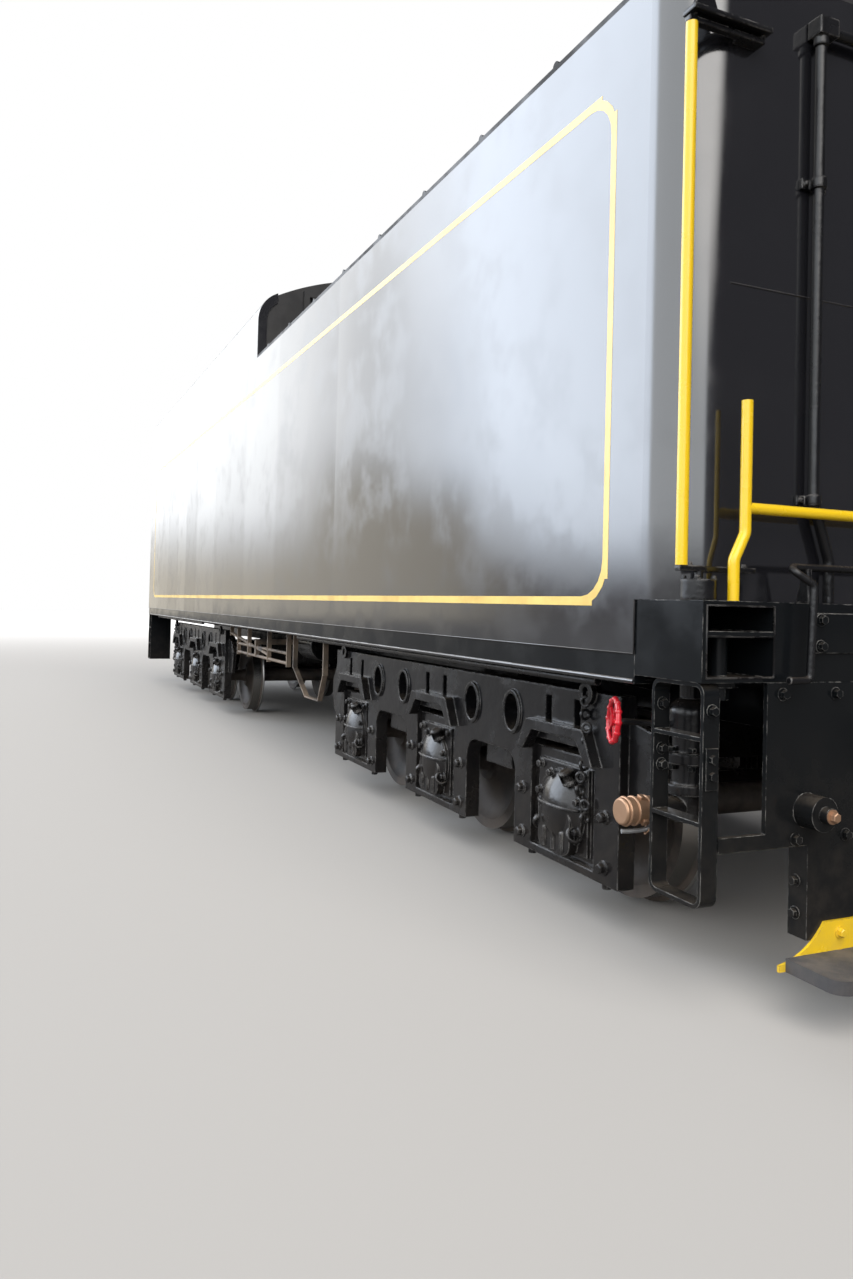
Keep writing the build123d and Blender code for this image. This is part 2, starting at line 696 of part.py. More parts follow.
# Footboards and their yellow kick plates, whose outer ends run down into a toe
board_depth = 250
board_z = (176, 226)
board_y = (560, plate_outer_y + 110)
board_corner = 60
kick_thick = 12
kick_top_z = 336
kick_shoulder_y = plate_outer_y - 80
toe_y = plate_outer_y + 139
toe_curve = (plate_outer_y - 10, 262)
toe_top_z = 200
with BuildPart() as boards:
    for side in (-1, 1):
        block(sill_face_x + kick_thick, sill_face_x + kick_thick + board_depth,
              side * board_y[0], side * board_y[1], *board_z)
    fillet(boards.edges().filter_by(Axis.Z).group_by(Axis.X)[-1], board_corner)
save(boards.part, "footboards")
with BuildPart() as kicks:
    for side in (-1, 1):
        with BuildSketch(across(sill_face_x)):
            with BuildLine():
                Polyline(
                    (side * toe_y, toe_top_z), (side * toe_y, board_z[0]),
                    (side * board_y[0], board_z[0]), (side * board_y[0], kick_top_z),
                    (side * kick_shoulder_y, kick_top_z),
                )
                ThreePointArc((side * kick_shoulder_y, kick_top_z),
                              (side * toe_curve[0], toe_curve[1]), (side * toe_y, toe_top_z))
            make_face()
        extrude(amount=kick_thick)
save(kicks.part, "kick_plates")

# Drain valve behind the left steps: a bell, flange, pipe and elbow on one upright axis, the
# branch with its cap, and the stem of the hand wheel, which leans a little out of level
valve_x = rear_truck_x + 2469
valve_y = -(bed_half - 292)
branch_z = 696
branch_radius = 46
branch_length = 183
cap_radius = 53
cap_length = 144
cap_edge = 10
neck_radius = 40
bell_radius = 80
bell_z = (987, 1060, 1131)
valve_flange_radius = 97
valve_flange_z = (873, 917)
valve_pipe_radius = 66
collar_radius = 86
collar_z = (750, 790)
elbow_radius = 60
elbow_bottom_z = 640
stem_radius = 13
hub_radius = 24
hub_half = 12
wheel_rim_radius = 84
wheel_rim_thick = 11
spoke_size = (14, 9)
spoke_count = 5
stem_reach = 240
wheel_centre = Vector(valve_x - 126, valve_y - 276, 1033)
stem_run = Vector(0.37, 0.91, -0.05).normalized()
stem_start = wheel_centre + stem_run * hub_half
stem_end = wheel_centre + stem_run * stem_reach
with BuildPart() as valve:
    with BuildSketch(Plane(origin=(valve_x, valve_y, 0), x_dir=(1, 0, 0), z_dir=(0, -1, 0))):
        with BuildLine():
            Polyline(
                (0, end_sill_bottom_z), (neck_radius, end_sill_bottom_z),
                (neck_radius, bell_z[2]),
            )
            ThreePointArc((neck_radius, bell_z[2]),
                          (bell_radius - (bell_radius - neck_radius) / 4,
                           bell_z[2] - (bell_z[2] - bell_z[1]) / 3), (bell_radius, bell_z[1]))
            Polyline(
                (bell_radius, bell_z[1]), (bell_radius, bell_z[0]), (valve_pipe_radius, bell_z[0]),
                (valve_pipe_radius, valve_flange_z[1]), (valve_flange_radius, valve_flange_z[1]),
                (valve_flange_radius, valve_flange_z[0]), (valve_pipe_radius, valve_flange_z[0]),
                (valve_pipe_radius, collar_z[1]), (collar_radius, collar_z[1]),
                (collar_radius, collar_z[0]), (elbow_radius, collar_z[0]),
                (elbow_radius, elbow_bottom_z), (0, elbow_bottom_z),
                (0, end_sill_bottom_z),
            )
        make_face()
    revolve(axis=Axis((valve_x, valve_y, 0), (0, 0, 1)))
    crosswise(valve_x, branch_z, valve_y, valve_y - branch_length, branch_radius)
    rod(tuple(stem_start), tuple(stem_end), stem_radius)
save(valve.part, "drain_valve")
with BuildPart() as hand_wheel:
    with Locations(Plane(origin=wheel_centre, z_dir=stem_run)):
        Torus(wheel_rim_radius, wheel_rim_thick)
        Cylinder(hub_radius, 2 * hub_half)
        with PolarLocations(wheel_rim_radius / 2, spoke_count):
            Box(wheel_rim_radius, *spoke_size)
save(hand_wheel.part, "drain_hand_wheel")
with BuildPart() as cap:
    cap_y = valve_y - branch_length
    crosswise(valve_x, branch_z, cap_y, cap_y - cap_length, cap_radius)
    fillet(cap.edges().filter_by(GeomType.CIRCLE).sort_by(Axis.Y)[:1], cap_edge)
save(cap.part, "hose_cap")

# Brake cylinder with its push rod, and the air reservoir, both hung from the bed
cylinder_x = -500
cylinder_y = -620
cylinder_z = 1020
cylinder_radius = 170
cylinder_length = 560
push_rod_length = 200
push_rod_radius = 30
hook_thick = 60
hook_half = 140
with BuildPart() as brake_cylinder:
    lengthwise(cylinder_y, cylinder_z, cylinder_x, cylinder_x + cylinder_length, cylinder_radius)
    lengthwise(cylinder_y, cylinder_z, cylinder_x - push_rod_length, cylinder_x, push_rod_radius)
    for hook_x in (cylinder_x + hook_thick, cylinder_x + cylinder_length - 2 * hook_thick):
        block(hook_x, hook_x + hook_thick, cylinder_y - hook_half, cylinder_y + hook_half,
              cylinder_z + cylinder_radius / 2, bed_floor_z)
save(brake_cylinder.part, "brake_cylinder")

reservoir_x = -900
reservoir_y = 800
reservoir_z = 960
reservoir_radius = 230
reservoir_length = 1700
reservoir_end = 60
reservoir_hook = 300
hook_plate = 40
with BuildPart() as reservoir:
    lengthwise(reservoir_y, reservoir_z, reservoir_x, reservoir_x + reservoir_length,
               reservoir_radius)
    fillet(reservoir.edges().filter_by(GeomType.CIRCLE), reservoir_end)
    for hook_x in (reservoir_x + reservoir_hook,
                   reservoir_x + reservoir_length - reservoir_hook - hook_plate):
        block(hook_x, hook_x + hook_plate, reservoir_y - hook_half, reservoir_y + hook_half,
              reservoir_z + reservoir_radius / 2, bed_floor_z)
save(reservoir.part, "air_reservoir")

# Brake rodding at the left side: two long rods, a diagonal one, drop hangers, the lever from
# the cylinder and the U-shaped guard that catches a dropped rod
rod_y = -(bed_half - 312)
rod_reach = (-1650, 600)
rod_levels = (962, 863)
long_rod_radius = 17
lever_thick = 60
lever_x = (cylinder_x - push_rod_length - lever_thick, cylinder_x - push_rod_length)
diagonal_start = (-2050, 1069)
diagonal_end = (-185, 903)
diagonal_eye = (13, 29)
hanger_places = (-1640, -1100, diagonal_end[0], 590)
hanger_half = 22
hanger_length = 26
hanger_low_z = 830
guard_x = (830, 1250, 1650, 1790)
guard_z = (850, 605)
guard_bar = 14
with BuildPart() as rodding:
    for rod_z in rod_levels:
        lengthwise(rod_y, rod_z, *rod_reach, long_rod_radius)
    rod((diagonal_start[0], rod_y, diagonal_start[1]), (diagonal_end[0], rod_y, diagonal_end[1]),
        long_rod_radius)
    for hanger_x in hanger_places:
        block(hanger_x - hanger_length / 2, hanger_x + hanger_length / 2, rod_y - hanger_half,
              rod_y + hanger_half, hanger_low_z, bed_floor_z)
    block(diagonal_start[0] - diagonal_eye[0], diagonal_start[0] + diagonal_eye[0],
          rod_y - hanger_half, rod_y + hanger_half, diagonal_start[1] - diagonal_eye[1], bed_floor_z)
    block(*lever_x, rod_y, cylinder_y + 2 * push_rod_radius, cylinder_z - push_rod_radius,
          cylinder_z + push_rod_radius)
    block(*lever_x, rod_y - hanger_half, rod_y + hanger_half, rod_levels[1],
          cylinder_z + push_rod_radius)
    with BuildSketch(Plane.XZ.offset(-rod_y - hanger_half)):
        with BuildLine():
            Polyline((guard_x[0], guard_z[0]), (guard_x[1], guard_z[1]), (guard_x[2], guard_z[1]),
                     (guard_x[3], guard_z[0]))
            offset(amount=guard_bar / 2, side=Side.BOTH)
        make_face()
    extrude(amount=2 * hanger_half)
    for guard_end_x in (guard_x[0], guard_x[3]):
        block(guard_end_x - guard_bar, guard_end_x + guard_bar, rod_y - hanger_half,
              rod_y + hanger_half, guard_z[0] - guard_bar, bed_floor_z)
save(rodding.part, "brake_rodding")

# Air pipes under the side sills, over each truck
air_pipe_y = bed_half - 107
air_pipe_z = bed_bottom_z - 24
air_pipe_radius = 20
clip_pitch = 1500
clip_half = 14
# start and end of each run along the tender
pipe_runs = ((front_truck_x - 2570, front_truck_x + 1430), (rear_truck_x - 2560, rear_truck_x + 2090))
first_clip = 300
with BuildPart() as air_pipes:
    for side in (-1, 1):
        for start_x, end_x in pipe_runs:
            lengthwise(side * air_pipe_y, air_pipe_z, start_x, end_x, air_pipe_radius)
            for step in range(int((end_x - start_x - first_clip) / clip_pitch) + 1):
                clip_x = start_x + first_clip + step * clip_pitch
                block(clip_x - clip_half, clip_x + clip_half, side * (air_pipe_y - clip_half),
                      side * (air_pipe_y + clip_half), air_pipe_z, bed_bottom_z)
save(air_pipes.part, "air_pipes")

# Front steps and grab irons beside the gangway to the engine
step_x = (front_sill_x + 10, tank_front_x + 120)
step_y = (bed_half - 362, bed_half - 22)
step_side = 12
step_tread = 14
step_levels = (420, 690, 960)
with BuildPart() as front_steps:
    for side in (-1, 1):
        for plate_x in (step_x[0], step_x[1] - step_side):
            block(plate_x, plate_x + step_side, side * step_y[0], side * step_y[1],
                  step_levels[0], bed_bottom_z)
        for tread_z in step_levels:
            block(step_x[0] + step_side, step_x[1] - step_side, side * step_y[0],
                  side * step_y[1], tread_z, tread_z + step_tread)
save(front_steps.part, "front_steps")

front_grab_x = tank_front_x - 70
front_grab_y = tank_half - 100
front_grab_z = (1700, 3300)
front_grab_radius = 18
front_grab_bend = 40
with BuildPart() as front_grabs:
    for side in (-1, 1):
        pipe([(tank_front_x, side * front_grab_y, front_grab_z[0]),
              (front_grab_x, side * front_grab_y, front_grab_z[0]),
              (front_grab_x, side * front_grab_y, front_grab_z[1]),
              (tank_front_x, side * front_grab_y, front_grab_z[1])],
             front_grab_bend, front_grab_radius)
save(front_grabs.part, "front_grab_irons")

# Draft gear pocket under the rear end, with the pin and the carrier of the coupler's shank
striker_half = 330
striker_drop = 150
coupler_pivot_x = sill_face_x - 445
shank_half = 65
shank_half_height = 80
shank_end_radius = 75
shank_rise = 10
swing_half = 136
slot_margin = 120
coupler_pin_radius = 40
with BuildPart() as draft_pocket:
    block(corner_box_x, sill_face_x, -striker_half, striker_half, coupler_z - striker_drop,
          end_sill_bottom_z)
    block(coupler_pivot_x - slot_margin, sill_face_x, -swing_half, swing_half,
          coupler_z - shank_half_height - seat, coupler_z + shank_half_height + shank_rise,
          mode=Mode.SUBTRACT)
    upright(coupler_pivot_x, 0, coupler_z - shank_half_height - shank_rise,
            coupler_z + shank_half_height + 2 * shank_rise, coupler_pin_radius)
save(draft_pocket.part, "draft_pocket")

# Coupler head on its shank: guard arm to the right, ears for the knuckle to the left
head_x = sill_face_x + 245
head_half_height = 140
knuckle_pin_x = head_x + 130
knuckle_pin_y = -110
knuckle_pin_radius = 22
knuckle_hub_radius = 60
knuckle_half_height = 98
ear_thick = 40
ear_margin = 15
ear_start = 40
neck_lap = 20
head_pin_reach = (20, 30)
# outline of the head: distance behind head_x and to the right; its arcs run between the others
head_back = ((60, -190), (0, -150), (0, 150), (60, 195))
head_arcs = (
    ((60, 195), (170, 232), (300, 225)), ((300, 225), (335, 195), (310, 150)),
    ((310, 150), (210, 105), (135, -12)),
)
head_front = ((135, -12), (60, -40), (60, -190))
with BuildPart() as coupler:
    block(coupler_pivot_x, head_x + neck_lap, -shank_half, shank_half, coupler_z - shank_half_height,
          coupler_z + shank_half_height)
    upright(coupler_pivot_x, 0, coupler_z - shank_half_height, coupler_z + shank_half_height,
            shank_end_radius)
    upright(coupler_pivot_x, 0, coupler_z - shank_half_height - weld,
            coupler_z + shank_half_height + weld, coupler_pin_radius + pin_clearance,
            mode=Mode.SUBTRACT)
    with BuildSketch(Plane.XY.offset(coupler_z - head_half_height)):
        with BuildLine():
            Polyline(*((head_x + x, y) for x, y in head_back))
            for arc in head_arcs:
                ThreePointArc(*((head_x + x, y) for x, y in arc))
            Polyline(*((head_x + x, y) for x, y in head_front))
        make_face()
    extrude(amount=2 * head_half_height)
    for ear_z in (coupler_z - head_half_height, coupler_z + head_half_height - ear_thick):
        block(head_x + ear_start, knuckle_pin_x, knuckle_pin_y - knuckle_hub_radius - ear_margin,
              knuckle_pin_y + knuckle_hub_radius, ear_z, ear_z + ear_thick)
        upright(knuckle_pin_x, knuckle_pin_y, ear_z, ear_z + ear_thick,
                knuckle_hub_radius + ear_margin)
    upright(knuckle_pin_x, knuckle_pin_y, coupler_z - head_half_height - head_pin_reach[0],
            coupler_z + head_half_height + head_pin_reach[1], knuckle_pin_radius)
save(coupler.part, "coupler_head")

# Knuckle: a hub on the pin and a hooked nose
nose_depth = 110
nose_y = (-120, 0, 45, 20)
nose_bulge = (150, -180)
nose_tip = 45
nose_hollow = (95, -30)
with BuildPart() as knuckle:
    with BuildSketch(Plane.XY.offset(coupler_z - knuckle_half_height)):
        with Locations((knuckle_pin_x, knuckle_pin_y)):
            Circle(knuckle_hub_radius)
        with BuildLine():
            Line((knuckle_pin_x, knuckle_pin_y + knuckle_hub_radius),
                 (knuckle_pin_x, knuckle_pin_y - knuckle_hub_radius))
            ThreePointArc((knuckle_pin_x, knuckle_pin_y - knuckle_hub_radius),
                          (knuckle_pin_x + nose_bulge[0], nose_bulge[1]),
                          (knuckle_face_x, nose_y[0]))
            Line((knuckle_face_x, nose_y[0]), (knuckle_face_x, nose_y[1]))
            ThreePointArc((knuckle_face_x, nose_y[1]), (knuckle_face_x - nose_tip, nose_y[2]),
                          (knuckle_face_x - nose_depth, nose_y[3]))
            ThreePointArc((knuckle_face_x - nose_depth, nose_y[3]),
                          (knuckle_face_x - nose_hollow[0], nose_hollow[1]),
                          (knuckle_pin_x, knuckle_pin_y + knuckle_hub_radius))
        make_face()
    extrude(amount=2 * knuckle_half_height)
    upright(knuckle_pin_x, knuckle_pin_y, coupler_z - knuckle_half_height - weld,
            coupler_z + knuckle_half_height + weld, knuckle_pin_radius + pin_clearance,
            mode=Mode.SUBTRACT)
save(knuckle.part, "coupler_knuckle")

# Cut lever across the left half of the rear sill, in two brackets
lever_radius = 14
lever_bend = 22
handle_x = sill_face_x + 60
shaft_x = sill_face_x - 20
shaft_z = 1655
bracket_posts = (-1000, -300)
post_foot = (45, 20)
post_top = 12
# run of the lever's bar: x, y and z of its corners, from the hand end to the middle
lever_run = (
    (handle_x, -1150, 1240), (handle_x, -1050, 1240), (handle_x, -1035, 1588),
    (handle_x - 30, -1110, 1640), (shaft_x, -1060, shaft_z), (shaft_x, -120, shaft_z),
)
with BuildPart() as lever:
    pipe(lever_run, lever_bend, lever_radius)
    for post in bracket_posts:
        with BuildSketch(Plane.XZ.offset(-post - bracket_thick)):
            Polygon((shaft_x - post_foot[0], deck_z), (shaft_x + post_foot[1], deck_z),
                    (shaft_x + post_top, shaft_z), (shaft_x - post_top, shaft_z), align=None)
        extrude(amount=bracket_thick)
save(lever.part, "cut_lever")

# Truck: one cast frame with two side frames, two transoms and the centre beam.
# The side frames are flat outside, with rims round the holes and a hood over each axle box,
# and hollowed from the inside.
frame_outer_y = journal_end_y + 55
frame_inner_y = journal_end_y - 35
frame_web = 36
frame_lip = 30
frame_top_z = 1090
arch_top_z = 699
arch_corner = 110
pedestal_half = 465
jaw_half = 290
jaw_top_z = 814
jaw_corner = 40
frame_bottom_z = 223
frame_reach = 2010
hole_offsets = (533, 1019)
hole_z = 914
hole_size = (152, 195)
rim_width = 22
rim_height = 14
slot_offset = 133
slot_z = 976
slot_size = (60, 130)
hood_foot = (350, 750)
hood_top = (262, 915)
hood_bar = 55
hood_depth = 60
hood_bend = 30
binder_height = 40
transom_half = 150
transom_z = (580, 860)
beam_half = 200
beam_low_z = 640
bowl_ring = 30
eye_offset = 1765
eye_z = 1085
eye_radius = 55
eye_hole = 28
eye_thick = 30
horn_thick = 40
horn_outline = ((1900, 1000), (2165, 950), (2255, 827), (2258, 681), (2200, 560), (1900, 560))


def side_frame_face(plane, wall):
    """Side frame in elevation, its openings widened and its edges drawn in by the wall."""
    height = frame_top_z - frame_bottom_z
    arch_width = axle_spacing - 2 * pedestal_half + 2 * wall
    arch_height = 2 * (arch_top_z - frame_bottom_z + wall)
    jaw_width = 2 * (jaw_half + wall)
    jaw_height = 2 * (jaw_top_z - frame_bottom_z + wall)
    with BuildSketch(plane, mode=Mode.PRIVATE) as face:
        with Locations((0, (frame_top_z + frame_bottom_z) / 2)):
            Rectangle(2 * (frame_reach - wall), height - 2 * wall)
        for side in (-1, 1):
            with Locations((side * axle_spacing / 2, frame_bottom_z)):
                RectangleRounded(arch_width, arch_height, arch_corner, mode=Mode.SUBTRACT)
            for hole_x in hole_offsets:
                with Locations((side * hole_x, hole_z)):
                    Ellipse(hole_size[0] / 2 + wall, hole_size[1] / 2 + wall, mode=Mode.SUBTRACT)
        for axle in (-1, 0, 1):
            with Locations((axle * axle_spacing, frame_bottom_z)):
                RectangleRounded(jaw_width, jaw_height, jaw_corner, mode=Mode.SUBTRACT)
            for slot in (-slot_offset, slot_offset):
                with Locations((axle * axle_spacing + slot, slot_z)):
                    Rectangle(slot_size[0] + 2 * wall, slot_size[1] + 2 * wall,
                              mode=Mode.SUBTRACT)
    return face.sketch


def hood_face(plane):
    """Bent bar over an axle box, wider at its feet."""
    with BuildSketch(plane, mode=Mode.PRIVATE) as face:
        with BuildLine():
            FilletPolyline((-hood_foot[0], hood_foot[1]), (-hood_top[0], hood_top[1]),
                           hood_top, hood_foot, radius=hood_bend)
            FilletPolyline((hood_foot[0] - hood_bar, hood_foot[1]),
                           (hood_top[0] - hood_bar, hood_top[1] - hood_bar),
                           (hood_bar - hood_top[0], hood_top[1] - hood_bar),
                           (hood_bar - hood_foot[0], hood_foot[1]), radius=hood_bend)
            Line(hood_foot, (hood_foot[0] - hood_bar, hood_foot[1]))
            Line((-hood_foot[0], hood_foot[1]), (hood_bar - hood_foot[0], hood_foot[1]))
        make_face()
    return face.sketch


def rim_face(plane):
    """Raised rim round a lightening hole."""
    with BuildSketch(plane, mode=Mode.PRIVATE) as face:
        Ellipse(hole_size[0] / 2 + rim_width, hole_size[1] / 2 + rim_width)
        Ellipse(hole_size[0] / 2, hole_size[1] / 2, mode=Mode.SUBTRACT)
    return face.sketch


def truck_frame(truck_x):
    """Cast truck frame around the centre at truck_x."""
    with BuildPart() as frame:
        for side in (-1, 1):
            inner_plane = facing_side(truck_x, side * frame_inner_y, side)
            extrude(side_frame_face(inner_plane, 0), amount=frame_outer_y - frame_inner_y)
            extrude(side_frame_face(inner_plane, frame_lip),
                    amount=frame_outer_y - frame_inner_y - frame_web, mode=Mode.SUBTRACT)
            for axle in (-1, 0, 1):
                axle_x = truck_x + axle * axle_spacing
                extrude(hood_face(facing_side(axle_x, side * (frame_outer_y - weld), side)),
                        amount=hood_depth)
                block(axle_x - jaw_half - weld, axle_x + jaw_half + weld, side * frame_inner_y,
                      side * frame_outer_y, frame_bottom_z, frame_bottom_z + binder_height)
            for end in (-1, 1):
                for hole_x in hole_offsets:
                    rim_plane = facing_side(truck_x + end * hole_x, side * (frame_outer_y - weld),
                                            side)
                    rim_plane.origin += Vector(0, 0, hole_z)
                    extrude(rim_face(rim_plane), amount=rim_height + weld)
                eye_plane = facing_side(truck_x + end * eye_offset, side * (frame_outer_y - weld),
                                        side)
                with BuildSketch(eye_plane, mode=Mode.PRIVATE) as eye:
                    with Locations((0, eye_z)):
                        Circle(eye_radius)
                        Circle(eye_hole, mode=Mode.SUBTRACT)
                extrude(eye.sketch, amount=eye_thick + weld)
                horn_plane = Plane(origin=(truck_x, side * frame_inner_y, 0), x_dir=(end, 0, 0),
                                   z_dir=(0, -end, 0))
                with BuildSketch(horn_plane, mode=Mode.PRIVATE) as horn:
                    Polygon(*horn_outline, align=None)
                extrude(horn.sketch, amount=-end * side * horn_thick)
                transom_x = truck_x + end * axle_spacing / 2
                block(transom_x - transom_half, transom_x + transom_half, 0,
                      side * (frame_inner_y + frame_lip), *transom_z)
        block(truck_x - axle_spacing / 2, truck_x + axle_spacing / 2, -beam_half, beam_half,
              beam_low_z, transom_z[1])
        upright(truck_x, 0, beam_low_z, bowl_z, bowl_radius + bowl_ring)
        upright(truck_x, 0, beam_low_z - weld, bowl_z + weld, kingpin_radius + seat,
                mode=Mode.SUBTRACT)
    return frame.part


# Axle box: a body in the jaw, a round bolted flange with a domed cover, and a ribbed sump
box_top_z = 770
box_body_y = journal_end_y + 25
box_face_y = journal_end_y + 45
box_back_y = journal_end_y - 55
boss_half = 225
boss_z = (300, 715)
cover_radius = 200
cover_thick = 20
dome_radius = 178
dome_rise = 53
dome_flat = 24
dome_bulge = (37, 104)
sump_width = 290
sump_height = 220
sump_corner = 60
sump_z = 395
sump_depth = 50
sump_edge = 14
rib_offsets = (-80, 0, 80)
rib_half = 9
bore_depth = 6


def journal_boxes(truck_x):
    """Six axle boxes of one truck."""
    with BuildPart() as boxes:
        for axle in (-1, 0, 1):
            axle_x = truck_x + axle * axle_spacing
            for side in (-1, 1):
                with BuildPart(mode=Mode.PRIVATE) as box:
                    block(axle_x - jaw_half, axle_x + jaw_half, side * box_back_y,
                          side * box_body_y, frame_bottom_z + binder_height, box_top_z)
                    block(axle_x - boss_half, axle_x + boss_half, side * (box_body_y - weld),
                          side * box_face_y, *boss_z)
                    crosswise(axle_x, axle_z, side * (box_face_y - weld),
                              side * (box_face_y + cover_thick), cover_radius)
                    dome_y = box_face_y + cover_thick
                    with BuildSketch(across(axle_x), mode=Mode.PRIVATE) as dome:
                        with BuildLine():
                            Polyline(
                                (side * (dome_y + dome_rise), axle_z + dome_flat),
                                (side * (dome_y + dome_rise), axle_z),
                                (side * (dome_y - weld), axle_z),
                                (side * (dome_y - weld), axle_z + dome_radius),
                                (side * dome_y, axle_z + dome_radius),
                            )
                            ThreePointArc(
                                (side * dome_y, axle_z + dome_radius),
                                (side * (dome_y + dome_bulge[0]), axle_z + dome_bulge[1]),
                                (side * (dome_y + dome_rise), axle_z + dome_flat),
                            )
                        make_face()
                    revolve(dome.sketch, axis=Axis((axle_x, 0, axle_z), (0, 1, 0)))
                    with BuildSketch(facing_side(axle_x, side * (box_face_y - weld), side),
                                     mode=Mode.PRIVATE) as sump:
                        with Locations((0, sump_z)):
                            RectangleRounded(sump_width, sump_height, sump_corner)
                    extrude(sump.sketch, amount=sump_depth + weld)
                    for rib in rib_offsets:
                        block(axle_x + rib - rib_half, axle_x + rib + rib_half,
                              side * box_face_y, side * (box_face_y + sump_depth + rib_half),
                              sump_z - sump_height / 2 + sump_edge, sump_z)
                    crosswise(axle_x, axle_z, side * (box_back_y - weld),
                              side * (journal_end_y + bore_depth), journal_radius + seat,
                              mode=Mode.SUBTRACT)
                add(box.part)
    return boxes.part


# Wheel: flanged tread, dished plate and hub, revolved with the axle
wheel_hub_radius = 135
rim_inner_radius = 392
hub_reach = 20
plate_back = 30
plate_front = 75
plate_middle_radius = 260
journal_shoulder = 60
tread_taper = 5
flange_edge = 6
flange_top = (12, 24)


def wheelset(axle_x):
    """Axle with its two flanged wheels, revolved about the axle's centre line."""
    back = wheel_back_gap / 2
    face = back + tire_width
    tip = wheel_radius + flange_height
    with BuildPart() as axle_part:
        with BuildSketch(Plane(origin=(axle_x, 0, axle_z), x_dir=(0, 1, 0), z_dir=(1, 0, 0))):
            with BuildLine():
                Polyline(
                    (back, rim_inner_radius), (back + plate_back, plate_middle_radius),
                    (back, wheel_hub_radius), (back - hub_reach, wheel_hub_radius),
                    (back - hub_reach, axle_radius), (0, axle_radius), (0, 0), (journal_end_y, 0),
                    (journal_end_y, journal_radius), (face + journal_shoulder, journal_radius),
                    (face + hub_reach / 2, axle_radius), (face + hub_reach / 2, wheel_hub_radius),
                    (face, wheel_hub_radius),
                )
                ThreePointArc((face, wheel_hub_radius), (back + plate_front, plate_middle_radius),
                              (face, rim_inner_radius))
                Polyline(
                    (face, rim_inner_radius), (face, wheel_radius - tread_taper),
                    (back + flange_width, wheel_radius), (back + flange_top[1], tip - flange_edge),
                    (back + flange_top[0], tip), (back, tip - flange_edge),
                    (back, rim_inner_radius),
                )
            make_face()
        revolve(axis=Axis((axle_x, 0, axle_z), (0, 1, 0)))
        mirror(about=Plane.XZ)
    return axle_part.part


# Brake rigging of a truck: one shoe to each wheel, on hangers from the transoms
tread_gap = 12
shoe_thick = 60
shoe_height = 300
shoe_y = (722, 808)
hanger_inset = 20
brake_bar = 15
hanger_top = 330
beam_half_height = 40
# axle, side of the wheel its shoe stands on, transom and face of it that carries the hanger
shoe_table = ((1, -1, 1, 1), (0, 1, 1, -1), (-1, 1, -1, -1))


def truck_brakes(truck_x):
    """Brake shoes, beams and hangers of one truck."""
    inner = wheel_radius + tread_gap
    with BuildPart() as rigging:
        for axle, facing, transom, face in shoe_table:
            axle_x = truck_x + axle * axle_spacing
            beam_x = axle_x + facing * (inner + shoe_thick)
            transom_face_x = truck_x + transom * axle_spacing / 2 + face * transom_half
            for side in (-1, 1):
                shoe_plane = facing_side(axle_x, side * shoe_y[0], side)
                with BuildSketch(shoe_plane, mode=Mode.PRIVATE) as shoe:
                    with Locations((0, axle_z)):
                        Circle(inner + shoe_thick)
                        Circle(inner, mode=Mode.SUBTRACT)
                    with Locations((-side * facing * (inner + shoe_thick), axle_z)):
                        Rectangle(4 * shoe_thick, shoe_height, mode=Mode.INTERSECT)
                extrude(shoe.sketch, amount=shoe_y[1] - shoe_y[0])
                hanger_near = side * (shoe_y[0] + hanger_inset)
                hanger_far = side * (shoe_y[1] - hanger_inset)
                block(beam_x - brake_bar, beam_x + brake_bar, hanger_near, hanger_far,
                      axle_z - hanger_inset, axle_z + hanger_top)
                block(transom_face_x, beam_x, hanger_near, hanger_far,
                      axle_z + hanger_top - beam_half_height, axle_z + hanger_top)
            block(beam_x - brake_bar, beam_x + brake_bar, -shoe_y[1], shoe_y[1],
                  axle_z - beam_half_height, axle_z + beam_half_height)
    return rigging.part


truck_table = (("rear", rear_truck_x), ("front", front_truck_x))
for truck_name, truck_x in truck_table:
    save(truck_frame(truck_x), f"{truck_name}_truck_frame")
    save(journal_boxes(truck_x), f"{truck_name}_truck_axle_boxes")
    save(truck_brakes(truck_x), f"{truck_name}_truck_brakes")
    for number, axle in ((1, 1), (2, 0), (3, -1)):
        save(wheelset(truck_x + axle * axle_spacing), f"{truck_name}_wheelset_{number}")
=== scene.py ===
import math
import bpy
from mathutils import Matrix, Vector


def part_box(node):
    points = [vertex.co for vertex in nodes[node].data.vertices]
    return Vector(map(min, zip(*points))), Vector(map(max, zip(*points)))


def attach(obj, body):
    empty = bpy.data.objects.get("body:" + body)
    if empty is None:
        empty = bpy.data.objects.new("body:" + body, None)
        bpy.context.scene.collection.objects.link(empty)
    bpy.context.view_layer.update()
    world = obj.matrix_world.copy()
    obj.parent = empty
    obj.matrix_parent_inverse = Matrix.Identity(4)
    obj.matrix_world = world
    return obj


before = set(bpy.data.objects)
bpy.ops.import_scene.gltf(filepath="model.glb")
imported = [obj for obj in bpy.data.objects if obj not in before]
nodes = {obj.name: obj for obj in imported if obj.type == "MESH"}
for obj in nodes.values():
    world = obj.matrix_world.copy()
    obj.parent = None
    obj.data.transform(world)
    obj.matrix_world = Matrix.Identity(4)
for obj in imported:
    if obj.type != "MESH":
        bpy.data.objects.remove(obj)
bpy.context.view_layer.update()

# Camera, floor and studio light.
# The camera stands where the photographer stood, beside the tender's rear left corner at
# eye height, and looks forward along the tank's side.
camera_data = bpy.data.cameras.new("camera")
camera_data.lens = 26.65
camera_data.sensor_width = 36
camera_data.shift_y = -0.0411
camera_data.clip_end = 400
camera = bpy.data.objects.new("camera", camera_data)
bpy.context.scene.collection.objects.link(camera)
camera_yaw, camera_pitch, camera_roll = (math.radians(a) for a in (23.663, 1.080, 1.419))
level_ahead = Vector((-math.cos(camera_yaw), math.sin(camera_yaw), 0))
level_right = Vector((math.sin(camera_yaw), math.cos(camera_yaw), 0))
up = Vector((0, 0, 1))
ahead = level_ahead * math.cos(camera_pitch) + up * math.sin(camera_pitch)
